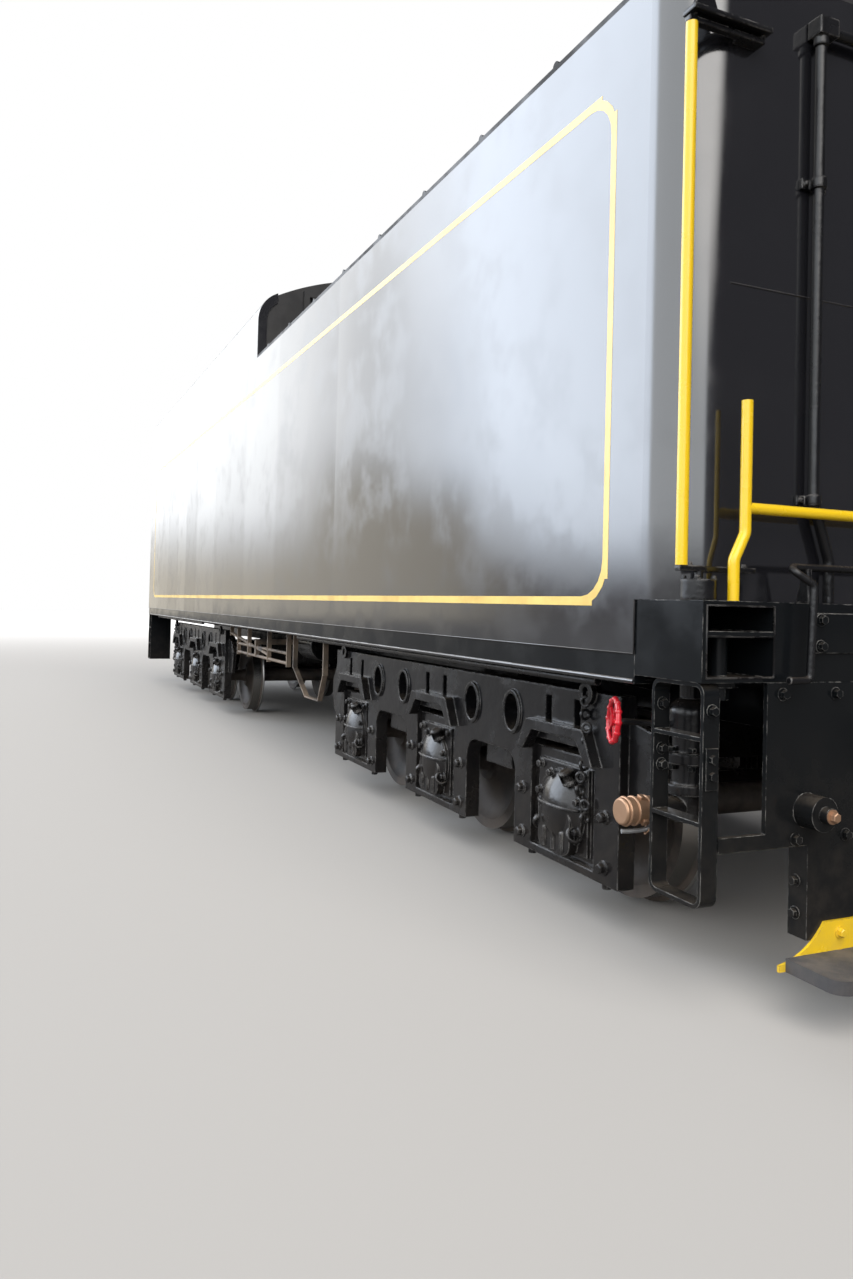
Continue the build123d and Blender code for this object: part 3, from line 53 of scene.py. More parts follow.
tilted_up = up * math.cos(camera_pitch) - level_ahead * math.sin(camera_pitch)
camera_right = level_right * math.cos(camera_roll) + tilted_up * math.sin(camera_roll)
camera_up = tilted_up * math.cos(camera_roll) - level_right * math.sin(camera_roll)
turned = Matrix((camera_right, camera_up, -ahead)).transposed().to_4x4()
camera_place = (9.751, -3.7185, 1.481)
camera.matrix_world = Matrix.Translation(camera_place) @ turned
bpy.context.scene.camera = camera
bpy.context.scene.view_settings.view_transform = "Standard"


def feed(socket, value):
    """Links a node's input to another node, or sets it to a number, a vector or a colour."""
    if isinstance(value, bpy.types.NodeSocket):
        socket.id_data.links.new(value, socket)
    elif isinstance(value, tuple):
        socket.default_value = (*value, 1)
    else:
        socket.default_value = value


def arithmetic(tree, operation, a, b=0.0, c=0.0, clamp=False):
    """One step of arithmetic among a tree's nodes."""
    node = tree.nodes.new("ShaderNodeMath")
    node.operation = operation
    node.use_clamp = clamp
    for socket, value in zip(node.inputs, (a, b, c)):
        feed(socket, value)
    return node.outputs[0]


def soft_step(tree, value, low, high):
    """Smooth step from nothing at low to all at high."""
    node = tree.nodes.new("ShaderNodeMapRange")
    node.interpolation_type = "SMOOTHSTEP"
    for label, given in (("Value", value), ("From Min", low), ("From Max", high)):
        feed(node.inputs[label], given)
    return node.outputs["Result"]


def tint(tree, factor, low, high):
    """Colour between two others."""
    node = tree.nodes.new("ShaderNodeMix")
    node.data_type = "RGBA"
    for socket, value in ((node.inputs["Factor"], factor), (node.inputs[6], low), (node.inputs[7], high)):
        feed(socket, value)
    return node.outputs[2]


def object_place(tree):
    """Each point's place on the object."""
    return tree.nodes.new("ShaderNodeTexCoord").outputs["Object"]


# the floor is pale to the camera and darker to the tender, as ballast is, and fades to white
floor_width, fade_start, fade_end = 160, 10, 55
pale_tone, ballast_tone, white = (0.42, 0.40, 0.375), (0.12, 0.11, 0.10), (1.0, 1.0, 1.0)
bpy.ops.mesh.primitive_plane_add(size=floor_width, location=(0, 0, 0))
floor = bpy.context.object
floor.name = "floor"
floor_paint = bpy.data.materials.new("pale_floor")
floor_paint.use_nodes = True
floor_tree = floor_paint.node_tree
floor_shader = floor_tree.nodes["Principled BSDF"]
floor_ray = floor_tree.nodes.new("ShaderNodeLightPath").outputs["Is Camera Ray"]
floor_far = floor_tree.nodes.new("ShaderNodeVectorMath")
floor_far.operation = "LENGTH"
feed(floor_far.inputs[0], object_place(floor_tree))
floor_fade = soft_step(floor_tree, floor_far.outputs["Value"], fade_start, fade_end)
feed(floor_shader.inputs["Roughness"], 0.9)
feed(floor_shader.inputs["Base Color"], tint(floor_tree, floor_ray, ballast_tone, pale_tone))
feed(floor_shader.inputs["Emission Color"], white)
feed(floor_shader.inputs["Emission Strength"], arithmetic(floor_tree, "MULTIPLY", floor_fade, floor_ray))
floor.data.materials.append(floor_paint)

world = bpy.data.worlds.new("studio")
bpy.context.scene.world = world
world.use_nodes = True
sky = world.node_tree
sky.nodes.clear()


def axes_of(tree, vector):
    """The x, y and z of a place or a direction."""
    node = tree.nodes.new("ShaderNodeSeparateXYZ")
    feed(node.inputs[0], vector)
    return node.outputs


def bent_line(tree, along, stops):
    """Number that runs straight from stop to stop, each a place from 0 to 1 and its number."""
    node = tree.nodes.new("ShaderNodeValToRGB")
    stop_list = node.color_ramp.elements
    while len(stop_list) > 1:
        stop_list.remove(stop_list[-1])
    for place, number in stops:
        stop_list.new(place).color = (number, number, number, 1)
    feed(node.inputs["Fac"], along)
    return node.outputs["Color"]


direction = sky.nodes.new("ShaderNodeTexCoord").outputs["Generated"]
sky_x, sky_y, height = axes_of(sky, direction)


def sky_patch(centre, core, edge):
    """Round soft light: the cosine from its centre is core where it is full, edge where it ends."""
    toward = sky.nodes.new("ShaderNodeVectorMath")
    toward.operation = "DOT_PRODUCT"
    feed(toward.inputs[0], direction)
    feed(toward.inputs[1], Vector(centre).normalized())
    return soft_step(sky, toward.outputs["Value"], edge, core)


# skyline of uneven height along the horizon, which the tank's side mirrors: bearing from
# straight ahead toward the left in degrees, and sine of the elevation
skyline_profile = (
    (0, 0.05), (10, 0.04), (17, 0.05), (18, 0.13), (21, 0.15), (22, 0.10), (26, 0.12),
    (27, 0.05), (30, 0.05), (31, 0.03),
)
skyline_span = 60
bearing = arithmetic(sky, "ARCTAN2", arithmetic(sky, "MULTIPLY", sky_y, -1),
                     arithmetic(sky, "MULTIPLY", sky_x, -1))
bearing_share = arithmetic(sky, "MULTIPLY", bearing, 180 / math.pi / skyline_span, clamp=True)
skyline = bent_line(sky, bearing_share, [(turn / skyline_span, rise) for turn, rise in skyline_profile])
clear_sky = soft_step(sky, arithmetic(sky, "SUBTRACT", height, skyline), -0.03, 0.06)


def bearing_step(low, high):
    """Smooth step by bearing, its two ends in degrees from straight ahead toward the left."""
    return soft_step(sky, bearing, math.radians(low), math.radians(high))


hazy_horizon, dark_horizon = (1.0, 0.93, 0.8), (0.26, 0.25, 0.25)
dome_colour, away_colour = (0.42, 0.45, 0.50), (0.10, 0.10, 0.11)
ahead_colour, left_colour = (2.85, 2.9, 2.95), (4.4, 4.8, 5.4)
side_colour, rear_colour = (2.3, 2.4, 2.5), (4.1, 4.0, 3.9)
horizon = tint(sky, bearing_step(33, 24), dark_horizon, hazy_horizon)
dome = tint(sky, clear_sky, horizon, dome_colour)
dome = tint(sky, sky_patch((0.45, 0.85, 0.25), 0.75, 0.15), dome, away_colour)
# light ahead: thinner behind the skyline, and weaker straight ahead than to the left
haze = arithmetic(sky, "SUBTRACT", height, arithmetic(sky, "MULTIPLY", skyline, 2.4))
thin_sky = arithmetic(sky, "MULTIPLY_ADD", soft_step(sky, haze, -0.06, 0.10), 0.28, 0.72)
front_glow = arithmetic(sky, "MULTIPLY", sky_patch((-0.80, -0.50, 0.22), 0.90, 0.72), clear_sky)
front_glow = arithmetic(sky, "MULTIPLY", front_glow, thin_sky)
dome = tint(sky, front_glow, dome, tint(sky, bearing_step(19, 28), ahead_colour, left_colour))
# broad soft light beside and behind the camera, which the rounded rear corner mirrors
side_glow = arithmetic(sky, "MULTIPLY", bearing_step(52, 64), bearing_step(178, 170))
side_glow = arithmetic(sky, "MULTIPLY", side_glow, soft_step(sky, height, 0.02, 0.10))
side_glow = arithmetic(sky, "MULTIPLY", side_glow, soft_step(sky, height, 0.80, 0.55))
dome = tint(sky, side_glow, dome, side_colour)
dome = tint(sky, sky_patch((0.72, -0.20, 0.80), 0.93, 0.80), dome, rear_colour)
ray = sky.nodes.new("ShaderNodeLightPath").outputs
backdrop_ray = arithmetic(sky, "MAXIMUM", ray["Is Camera Ray"], ray["Is Transmission Ray"])
glow = sky.nodes.new("ShaderNodeBackground")
feed(glow.inputs["Color"], tint(sky, backdrop_ray, dome, white))
feed(sky.nodes.new("ShaderNodeOutputWorld").inputs["Surface"], glow.outputs[0])

# Water tank.
# A long box of flat steel plates, welded edge to edge, with rounded rear corners. Its black
# enamel is glossy and a little wavy, so it mirrors the sky and the ground in soft bands.
bpy.ops.object.select_all(action="DESELECT")


def value_noise(group, coordinates, scale, detail, roughness=0.5):
    """Noise texture inside a node group."""
    node = group.nodes.new("ShaderNodeTexNoise")
    for label, value in (("Detail", detail), ("Roughness", roughness), ("Vector", coordinates),
                         ("Scale", scale)):
        feed(node.inputs[label], value)
    return node.outputs["Fac"]


def group_shell(name, inputs, outputs):
    """Empty node group with named number inputs and outputs."""
    group = bpy.data.node_groups.new(name, "ShaderNodeTree")
    for label, value in inputs:
        socket = group.interface.new_socket(label, in_out="INPUT", socket_type="NodeSocketFloat")
        socket.default_value = value
    for label in outputs:
        group.interface.new_socket(label, in_out="OUTPUT", socket_type="NodeSocketFloat")
    return group, group.nodes.new("NodeGroupInput").outputs, group.nodes.new("NodeGroupOutput").inputs


def facing(group):
    """The way each point of the surface faces."""
    return group.nodes.new("ShaderNodeNewGeometry").outputs["Normal"]


# brushed and sprayed paint: broad waves, fine orange peel, and a mask of duller patches
skin, skin_in, skin_out = group_shell(
    "paint_skin", (("Wave Scale", 0.9), ("Peel Scale", 60.0), ("Peel Share", 0.05)),
    ("Height", "Dull"))
skin_place = object_place(skin)
skin_waves = value_noise(skin, skin_place, skin_in["Wave Scale"], 2)
skin_peel = value_noise(skin, skin_place, skin_in["Peel Scale"], 3)
feed(skin_out["Height"], arithmetic(skin, "MULTIPLY_ADD", skin_peel, skin_in["Peel Share"], skin_waves))
skin_patch = value_noise(skin, skin_place, 3.1, 5, 0.6)
feed(skin_out["Dull"], soft_step(skin, skin_patch, 0.42, 0.68))

# dust: lies on what faces up, and in patches low down
dust, dust_in, dust_out = group_shell(
    "settled_dust", (("Top", 0.6), ("Film", 0.2), ("Low Z", 0.2), ("High Z", 1.4)), ("Mask",))
dust_place = object_place(dust)
dust_up = soft_step(dust, axes_of(dust, facing(dust))["Z"], 0.25, 0.95)
dust_clumps = soft_step(dust, value_noise(dust, dust_place, 9.0, 6, 0.65), 0.35, 0.7)
dust_low = soft_step(dust, axes_of(dust, dust_place)["Z"], dust_in["High Z"], dust_in["Low Z"])
dust_film = arithmetic(dust, "MULTIPLY", dust_low, dust_in["Film"])
dust_film = arithmetic(dust, "MULTIPLY", dust_film, arithmetic(dust, "ADD", dust_clumps, 0.35))
dust_top = arithmetic(dust, "MULTIPLY", dust_up, dust_in["Top"])
dust_top = arithmetic(dust, "MULTIPLY", dust_top, arithmetic(dust, "ADD", dust_clumps, 0.3))
feed(dust_out["Mask"], arithmetic(dust, "MAXIMUM", dust_film, dust_top, clamp=True))


def shell_material(name, roughness, colour, **fixed):
    """Empty material with its shader's fixed values; returns the material, its tree and shader."""
    material = bpy.data.materials.new(name)
    material.use_nodes = True
    material.diffuse_color = (*colour, 1)
    shader = material.node_tree.nodes["Principled BSDF"]
    feed(shader.inputs["Base Color"], colour)
    feed(shader.inputs["Roughness"], roughness)
    feed(shader.inputs["Coat Roughness"], 0.04)
    for label, value in fixed.items():
        feed(shader.inputs[label.replace("_", " ")], value)
    return material, material.node_tree, shader.inputs


def place_group(tree, group, **values):
    """Puts a node group into a material with its own values."""
    node = tree.nodes.new("ShaderNodeGroup")
    node.node_tree = group
    for label, value in values.items():
        feed(node.inputs[label.replace("_", " ")], value)
    return node.outputs


def brushed_material(name, roughness, colour, waves, peel, share, **fixed):
    """Material with the paint's skin placed in it; its skin comes last of what is returned."""
    made = shell_material(name, roughness, colour, **fixed)
    return *made, place_group(made[1], skin, Wave_Scale=waves, Peel_Scale=peel, Peel_Share=share)


def grade(tree, factor, low, high):
    """Number between low and high."""
    node = tree.nodes.new("ShaderNodeMapRange")
    for label, value in (("To Min", low), ("To Max", high), ("Value", factor)):
        feed(node.inputs[label], value)
    return node.outputs["Result"]


def relief(tree, height, distance, strength, base=None):
    """Normal with a bump from a height."""
    node = tree.nodes.new("ShaderNodeBump")
    for label, value in (("Distance", distance), ("Strength", strength), ("Height", height)):
        feed(node.inputs[label], value)
    if base is not None:
        feed(node.inputs["Normal"], base)
    return node.outputs["Normal"]


def wear_paint(material, *names):
    """Gives CAD nodes a material."""
    for name in names:
        mesh = nodes[name].data
        mesh.materials.clear()
        mesh.materials.append(material)


# side plates: each lies a little askew, so the height along the tank is a line with kinks at the
# welded seams
plate_seams = (-6.3, -5.35, -4.4, -3.75, -2.9, -1.7, -0.1, 1.15, 2.9, 4.95)
plate_rise = (0.5, 0.62, 0.5, 0.68, 0.45, 0.60, 0.48, 0.64, 0.46, 0.56)
tank_front, tank_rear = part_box("water_tank")[0][0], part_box("water_tank")[1][0]
plates, plates_in, plates_out = group_shell(
    "skewed_plates", (("Front X", tank_front), ("Rear X", tank_rear)), ("Height",))
along = plates.nodes.new("ShaderNodeMapRange")
feed(along.inputs["Value"], axes_of(plates, object_place(plates))["X"])
feed(along.inputs["From Min"], plates_in["Front X"])
feed(along.inputs["From Max"], plates_in["Rear X"])
feed(plates_out["Height"], bent_line(plates, along.outputs["Result"], [
    ((seam - tank_front) / (tank_rear - tank_front), rise) for seam, rise in zip(plate_seams, plate_rise)]))

enamel, tree, paint, coat = brushed_material("tank_enamel", 0.1, (0.012, 0.012, 0.014), 0.55, 40.0, 0.01,
                                             IOR=2.0)
tank_dust = place_group(tree, dust, Top=0.55, Film=0.0)["Mask"]
dust_dulling = 3.0
feed(paint["Base Color"], tint(tree, tank_dust, (0.010, 0.010, 0.012), (0.17, 0.14, 0.11)))
feed(paint["Roughness"], arithmetic(tree, "MULTIPLY_ADD", tank_dust, dust_dulling,
                                    grade(tree, coat["Dull"], 0.1, 0.2), clamp=True))
askew = relief(tree, place_group(tree, plates)["Height"], 0.06, 1.0)
feed(paint["Normal"], relief(tree, coat["Height"], 0.03, 0.12, askew))
wear_paint(enamel, "water_tank", "bunker_side_sheets")

# Cast bed, end sills and steel plates of the rear end.
# Smooth steel under a sprayed gloss black, bright along the edges that boots and tools rub, and with a
# painted highlight there.
edge_samples = 4


def soft_edges(tree, radius):
    """Normal that rounds off the edges within a radius."""
    node = tree.nodes.new("ShaderNodeBevel")
    node.samples = edge_samples
    feed(node.inputs["Radius"], radius)
    return node.outputs["Normal"]


# worn and highlit edges: where a convex edge is met within the radius the paint is thin; a pale tone there
# is also a painted highlight
edges, edges_in, edges_out = group_shell("worn_and_highlit_edges", (("Radius", 0.006), ("Breakup", 30.0)), ("Mask",))
edge_turn = edges.nodes.new("ShaderNodeVectorMath")
edge_turn.operation = "DOT_PRODUCT"
feed(edge_turn.inputs[0], soft_edges(edges, edges_in["Radius"]))
feed(edge_turn.inputs[1], facing(edges))
edge_bent = soft_step(edges, edge_turn.outputs["Value"], 0.98, 0.80)
edge_patch = value_noise(edges, object_place(edges), edges_in["Breakup"], 4, 0.6)
feed(edges_out["Mask"], arithmetic(edges, "MULTIPLY", edge_bent, soft_step(edges, edge_patch, 0.40, 0.62)))


def dusted(tree, clean, dusty, top, film, low, high):
    """Colour that goes from clean to dusty where dust settles."""
    settled = place_group(tree, dust, Top=top, Film=film, Low_Z=low, High_Z=high)
    return tint(tree, settled["Mask"], clean, dusty)


def rubbed_and_highlit(tree, painted, bare_and_highlit, radius, breakup):
    """Colour along convex edges: rubbed paint, and where the edge tone is pale also a painted highlight."""
    return tint(tree, place_group(tree, edges, Radius=radius, Breakup=breakup)["Mask"], painted, bare_and_highlit)


sill_paint, tree, paint, coat = brushed_material("bed_black", 0.2, (0.016, 0.016, 0.017), 2.2, 60.0, 0.03,
                                                 IOR=1.3)
sill_tone = dusted(tree, (0.006, 0.007, 0.008), (0.16, 0.13, 0.10), top=0.3, film=0.08, low=0.2, high=1.2)
# pale tone along the convex edges: partly rubbed paint, partly a painted highlight
feed(paint["Base Color"], rubbed_and_highlit(tree, sill_tone, (0.30, 0.29, 0.27), radius=0.005, breakup=24.0))
feed(paint["Roughness"], grade(tree, coat["Dull"], 0.12, 0.26))
feed(paint["Normal"], relief(tree, coat["Height"], 0.012, 0.3, soft_edges(tree, 0.004)))
wear_paint(sill_paint, "underframe", "rear_end_sill", "front_end_sill", "stirrup_steps",
           "footboard_hangers", "rear_ladder", "front_steps", "air_reservoir")

# Castings under the tank and the small black ironwork.
# Cast and forged steel, brushed with thick gloss black that runs over the rough skin and has
# gathered brown dust on its ledges.
iron, tree, paint, coat = brushed_material("casting_black", 0.25, (0.016, 0.016, 0.017), 14.0, 60.0, 0.16,
                                           IOR=1.5)
iron_tone = dusted(tree, (0.006, 0.006, 0.007), (0.17, 0.135, 0.10), top=0.22, film=0.07, low=0.2, high=1.1)
# pale tone along the convex edges: partly rubbed paint, partly a painted highlight
feed(paint["Base Color"], rubbed_and_highlit(tree, iron_tone, (0.22, 0.21, 0.20), radius=0.011, breakup=14.0))
feed(paint["Roughness"], grade(tree, coat["Dull"], 0.16, 0.36))
feed(paint["Normal"], relief(tree, coat["Height"], 0.007, 0.45, soft_edges(tree, 0.014)))
wear_paint(iron, "drawbar_pocket", "front_buffer", "backup_lamp", "lamp_conduit",
           "grab_iron_brackets", "drain_valve", "brake_cylinder", "air_pipes",
           "front_grab_irons", "draft_pocket", "coupler_head", "coupler_knuckle", "cut_lever",
           "rear_truck_frame", "rear_truck_axle_boxes", "rear_truck_brakes",
           "front_truck_frame", "front_truck_axle_boxes", "front_truck_brakes")

# Bunker walls, coal gates, hatch and the bead along the tank's top edge.
# Steel plate and bar in satin black, dulled by coal dust; the gates hang on plain pins.
deck, tree, paint, coat = brushed_material("bunker_black", 0.5, (0.02, 0.02, 0.02), 2.0, 90.0, 0.2)
feed(paint["Base Color"], dusted(tree, (0.016, 0.016, 0.017), (0.06, 0.055, 0.05),
                                 top=0.5, film=0.3, low=3.5, high=5.2))
feed(paint["Roughness"], grade(tree, coat["Dull"], 0.48, 0.75))
feed(paint["Normal"], relief(tree, coat["Height"], 0.006, 0.4))
wear_paint(deck, "deck_edge_bead", "bunker_rear_wall", "bunker_front_wall", "gate_hinge_pins",
           "coal_gate_left", "coal_gate_right", "hatch_coaming", "hatch_lid")

# Yellow grab irons, end railing and kick plates.
# Round bar and thin plate in fresh gloss yellow, brushed on thickly, with a few brown chips.
yellow, tree, paint, coat = brushed_material("rail_yellow", 0.3, (0.85, 0.56, 0.012), 6.0, 80.0, 0.2,
                                             Coat_Weight=0.4)
yellow_tone = dusted(tree, (0.86, 0.56, 0.010), (0.36, 0.25, 0.10), top=0.15, film=0.25, low=0.1, high=0.6)
feed(paint["Base Color"], rubbed_and_highlit(tree, yellow_tone, (0.30, 0.17, 0.07), radius=0.005, breakup=45.0))
feed(paint["Roughness"], grade(tree, coat["Dull"], 0.22, 0.42))
feed(paint["Normal"], relief(tree, coat["Height"], 0.003, 0.4))
wear_paint(yellow, "corner_grab_irons", "end_railing", "kick_plates")

# Hand wheel of the drain valve.
# Cast iron in gloss red, worn dull in patches, and keyed to the valve's stem.
red, tree, paint, coat = brushed_material("valve_red", 0.3, (0.55, 0.01, 0.02), 22.0, 150.0, 0.3,
                                          Coat_Weight=0.3)
feed(paint["Base Color"], tint(tree, coat["Dull"], (0.62, 0.012, 0.025), (0.30, 0.010, 0.015)))
feed(paint["Normal"], relief(tree, coat["Height"], 0.003, 0.5))
wear_paint(red, "drain_hand_wheel")

# Hose cap of the drain.
# Weathered brass, tan with dust and darker in its scratches, screwed on the branch.
brass, tree, metal, coat = brushed_material("cap_brass", 0.45, (0.4, 0.25, 0.15), 30.0, 200.0, 0.4)
feed(metal["Base Color"], tint(tree, coat["Dull"], (0.44, 0.27, 0.17), (0.22, 0.12, 0.07)))
feed(metal["Metallic"], grade(tree, coat["Dull"], 0.75, 0.1))
feed(metal["Normal"], relief(tree, coat["Height"], 0.002, 0.5))
wear_paint(brass, "hose_cap")

# Brake rodding at mid length.
# Forged bars on plain pins, whose black paint is hidden by dry brown dust.
rods, tree, paint, coat = brushed_material("rod_dust", 0.6, (0.22, 0.16, 0.12), 8.0, 150.0, 0.4)
feed(paint["Base Color"], tint(tree, coat["Dull"], (0.25, 0.19, 0.14), (0.05, 0.042, 0.036)))
feed(paint["Normal"], relief(tree, coat["Height"], 0.003, 0.5))
wear_paint(rods, "brake_rodding")

# Footboards.
# Steel plates bolted to the hangers, under dark grey paint with sand in it against slipping.
boards, tree, paint, coat = brushed_material("board_grey", 0.7, (0.06, 0.06, 0.065), 10.0, 300.0, 1.2)
feed(paint["Base Color"], dusted(tree, (0.05, 0.05, 0.055), (0.2, 0.17, 0.14),
                                 top=0.4, film=0.2, low=0.1, high=0.6))
feed(paint["Normal"], relief(tree, coat["Height"], 0.003, 0.8))
wear_paint(boards, "footboards")

# Lamp lens.
# Flat round of clear pressed glass with fine rings, held in the back-up lamp's rim.
glass, tree, lens = shell_material("lamp_glass", 0.05, (0.9, 0.92, 0.95), Transmission_Weight=0.85)
lens_low, lens_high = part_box("lamp_lens")
lens_axis = tree.nodes.new("ShaderNodeMapping")
feed(lens_axis.inputs["Location"], -(Vector(lens_low) + Vector(lens_high)) / 2)
feed(lens_axis.inputs["Vector"], object_place(tree))
lens_rings = tree.nodes.new("ShaderNodeTexWave")
lens_rings.wave_type = "RINGS"
lens_rings.rings_direction = "X"
feed(lens_rings.inputs["Scale"], 9.0)
feed(lens_rings.inputs["Vector"], lens_axis.outputs["Vector"])
feed(lens["Normal"], relief(tree, lens_rings.outputs["Fac"], 0.004, 0.6))
wear_paint(glass, "lamp_lens")

# Wheelsets.
# Steel wheels pressed on plain axles: the tread is worn bright by the rail, the flange less,
# and the plate and axle are brown with oil and dust.
truck_centres = (("rear", 4.206), ("front", -4.328))
axle_pitch, axle_height, tread_start, tread_full = 1.524, 0.485, 0.43, 0.45
worn, worn_in, worn_out = group_shell(
    "wheel_wear", (("Truck X", 0.0), ("Axle Pitch", axle_pitch), ("Axle Z", axle_height)), ("Tread",))
worn_place = axes_of(worn, object_place(worn))
from_truck = arithmetic(worn, "SUBTRACT", worn_place["X"], worn_in["Truck X"])
half_pitch = arithmetic(worn, "MULTIPLY", worn_in["Axle Pitch"], 0.5)
low_wrap = arithmetic(worn, "MULTIPLY", half_pitch, -1.0)
from_axle = arithmetic(worn, "WRAP", from_truck, half_pitch, low_wrap)
above_axle = arithmetic(worn, "SUBTRACT", worn_place["Z"], worn_in["Axle Z"])
radius_square = arithmetic(worn, "MULTIPLY_ADD", from_axle, from_axle,
                           arithmetic(worn, "MULTIPLY", above_axle, above_axle))
wheel_radius = arithmetic(worn, "SQRT", radius_square)
around = soft_step(worn, arithmetic(worn, "ABSOLUTE", axes_of(worn, facing(worn))["Y"]), 0.8, 0.3)
feed(worn_out["Tread"], arithmetic(worn, "MULTIPLY", around,
                                   soft_step(worn, wheel_radius, tread_start, tread_full)))
for end, truck_x in truck_centres:
    steel, tree, metal, coat = brushed_material(end + "_wheel_steel", 0.5, (0.09, 0.075, 0.065),
                                                7.0, 90.0, 0.3)
    tread = place_group(tree, worn, Truck_X=truck_x)["Tread"]
    body_tone = tint(tree, coat["Dull"], (0.10, 0.08, 0.065), (0.035, 0.03, 0.028))
    feed(metal["Base Color"], tint(tree, tread, body_tone, (0.55, 0.54, 0.52)))
    feed(metal["Metallic"], tread)
    feed(metal["Roughness"], grade(tree, tread, 0.6, 0.25))
    feed(metal["Normal"], relief(tree, coat["Height"], 0.003, 0.4))
    for number in (1, 2, 3):
        wear_paint(steel, f"{end}_wheelset_{number}")

# Striping on the tank's two sides.
# One golden line, hand painted, that frames each side; its rear corners are cut in rounded
# steps, where the painter's tape ends.
stripe_box = (-6.881, 6.501, 1.514, 3.624)
stripe_width, stripe_corner, stripe_thick = 0.038, 0.19, 0.0008
side_y = 1.5
gold, tree, paint, coat = brushed_material("stripe_gold", 0.3, (0.85, 0.58, 0.14), 3.0, 90.0, 0.2, IOR=1.6)
feed(paint["Base Color"], tint(tree, coat["Dull"], (0.88, 0.62, 0.15), (0.72, 0.47, 0.10)))
feed(paint["Normal"], relief(tree, coat["Height"], 0.002, 0.2))
for side, side_name in ((-1, "left"), (1, "right")):
    x_low, x_high, z_low, z_high = stripe_box
    bpy.ops.mesh.primitive_plane_add(
        size=1, location=((x_low + x_high) / 2, side * (side_y + stripe_thick / 2), (z_low + z_high) / 2),
        rotation=(math.pi / 2, 0, 0))
    stripe = bpy.context.object
    stripe.name = side_name + "_stripe"
    stripe.scale = (x_high - x_low + stripe_width, z_high - z_low + stripe_width, 1)
    bpy.ops.object.transform_apply(location=True, rotation=True, scale=True)
    bpy.ops.object.mode_set(mode="EDIT")
    bpy.ops.mesh.select_all(action="SELECT")
    bpy.ops.mesh.bevel(affect="VERTICES", offset=stripe_corner, segments=5)
    bpy.ops.mesh.select_all(action="SELECT")
    bpy.ops.mesh.inset(thickness=stripe_width)
    bpy.ops.mesh.delete(type="FACE")
    bpy.ops.object.mode_set(mode="OBJECT")
    thick = stripe.modifiers.new("thick", "SOLIDIFY")
    thick.thickness = stripe_thick
    thick.offset = 0
    bpy.ops.object.modifier_apply(modifier="thick")
    stripe.data.materials.append(gold)
    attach(stripe, "tender")

# Bolts of the two trucks.
# Forged hexagon heads on round washers, painted over with the castings. A ring of them holds
# each axle box's cover, and pairs hold the jaws, the boss and the binders.
bolt_width, bolt_head, washer_width, washer_thick = 0.036, 0.018, 0.052, 0.004


def start_with(add_primitive, **sizes):
    """Adds a primitive to shape, with nothing else selected."""
    bpy.ops.object.select_all(action="DESELECT")
    add_primitive(**sizes)
    return bpy.context.object


def join_pieces(pieces, name):
    """Joins loose pieces into the first of them."""
    bpy.ops.object.select_all(action="DESELECT")
    for piece in pieces:
        piece.select_set(True)
    bpy.context.view_layer.objects.active = pieces[0]
    bpy.ops.object.join()
    pieces[0].name = name
    return pieces[0]


def hex_bolt(scale):
    """One bolt head on its washer, standing on the origin and pointing up."""
    bolt = start_with(bpy.ops.mesh.primitive_cylinder_add, vertices=6, radius=scale * bolt_width / 2,
                      depth=scale * bolt_head, location=(0, 0, scale * (washer_thick + bolt_head / 2)))
    for face in bolt.data.polygons:
        face.select = face.normal.z > 0.9
    bpy.ops.object.mode_set(mode="EDIT")
    bpy.ops.mesh.select_mode(type="FACE")
    bpy.ops.mesh.inset(thickness=scale * 0.003)
    bpy.ops.transform.translate(value=(0, 0, scale * 0.003))
    bpy.ops.object.mode_set(mode="OBJECT")
    bpy.ops.mesh.primitive_cylinder_add(
        vertices=14, radius=scale * washer_width / 2, depth=scale * 2 * washer_thick)
    return join_pieces([bolt, bpy.context.object], "bolt")


def set_out(master, places, name):
    """Copies a piece to each place, which is x, y, z and the way it faces, and joins the copies."""
    copies = []
    for x, y, z, facing in places:
        copy = master.copy()
        copy.data = master.data.copy()
        turn = Vector(facing).to_track_quat("Z", "Y").to_matrix().to_4x4()
        copy.matrix_world = Matrix.Translation((x, y, z)) @ turn @ master.matrix_world
        bpy.context.scene.collection.objects.link(copy)
        copies.append(copy)
    bpy.data.objects.remove(master)
    return join_pieces(copies, name)


def fix_on(piece, material, body):
    """Applies a piece's place, paints it and lets it ride on its body."""
    bpy.ops.object.select_all(action="DESELECT")
    piece.select_set(True)
    bpy.context.view_layer.objects.active = piece
    bpy.ops.object.transform_apply(location=True, rotation=True, scale=True)
    piece.data.materials.clear()
    piece.data.materials.append(material)
    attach(piece, body)


cover_face_y, frame_face_y, boss_face_y, binder_y = 1.215, 1.205, 1.195, 1.16
cover_bolt_ring, jaw_reach, binder_reach, boss_reach = 0.188, 0.378, 0.34, 0.20
binder_z, boss_z = 0.223, 0.685
for end, truck_x in truck_centres:
    ring_places = []
    jaw_places = []
    for side in (-1, 1):
        for axle in (-1, 0, 1):
            axle_x = truck_x + axle * axle_pitch
            for eighth in range(8):
                angle = math.radians(22.5 + 45 * eighth)
                if math.sin(angle) > -0.8:
                    ring_places.append((axle_x + cover_bolt_ring * math.cos(angle),
                                        side * cover_face_y,
                                        axle_height + cover_bolt_ring * math.sin(angle),
                                        (0, side, 0)))
            for leg in (-1, 1):
                for bolt_z in (0.530, 0.300):
                    jaw_places.append((axle_x + leg * jaw_reach, side * frame_face_y, bolt_z,
                                       (0, side, 0)))
                jaw_places.append((axle_x + leg * binder_reach, side * binder_y, binder_z, (0, 0, -1)))
                ring_places.append((axle_x + leg * boss_reach, side * boss_face_y, boss_z, (0, side, 0)))
    fix_on(set_out(hex_bolt(1.0), ring_places, end + "_box_bolts"), iron, end + "_truck")
    fix_on(set_out(hex_bolt(1.35), jaw_places, end + "_jaw_bolts"), iron, end + "_truck")

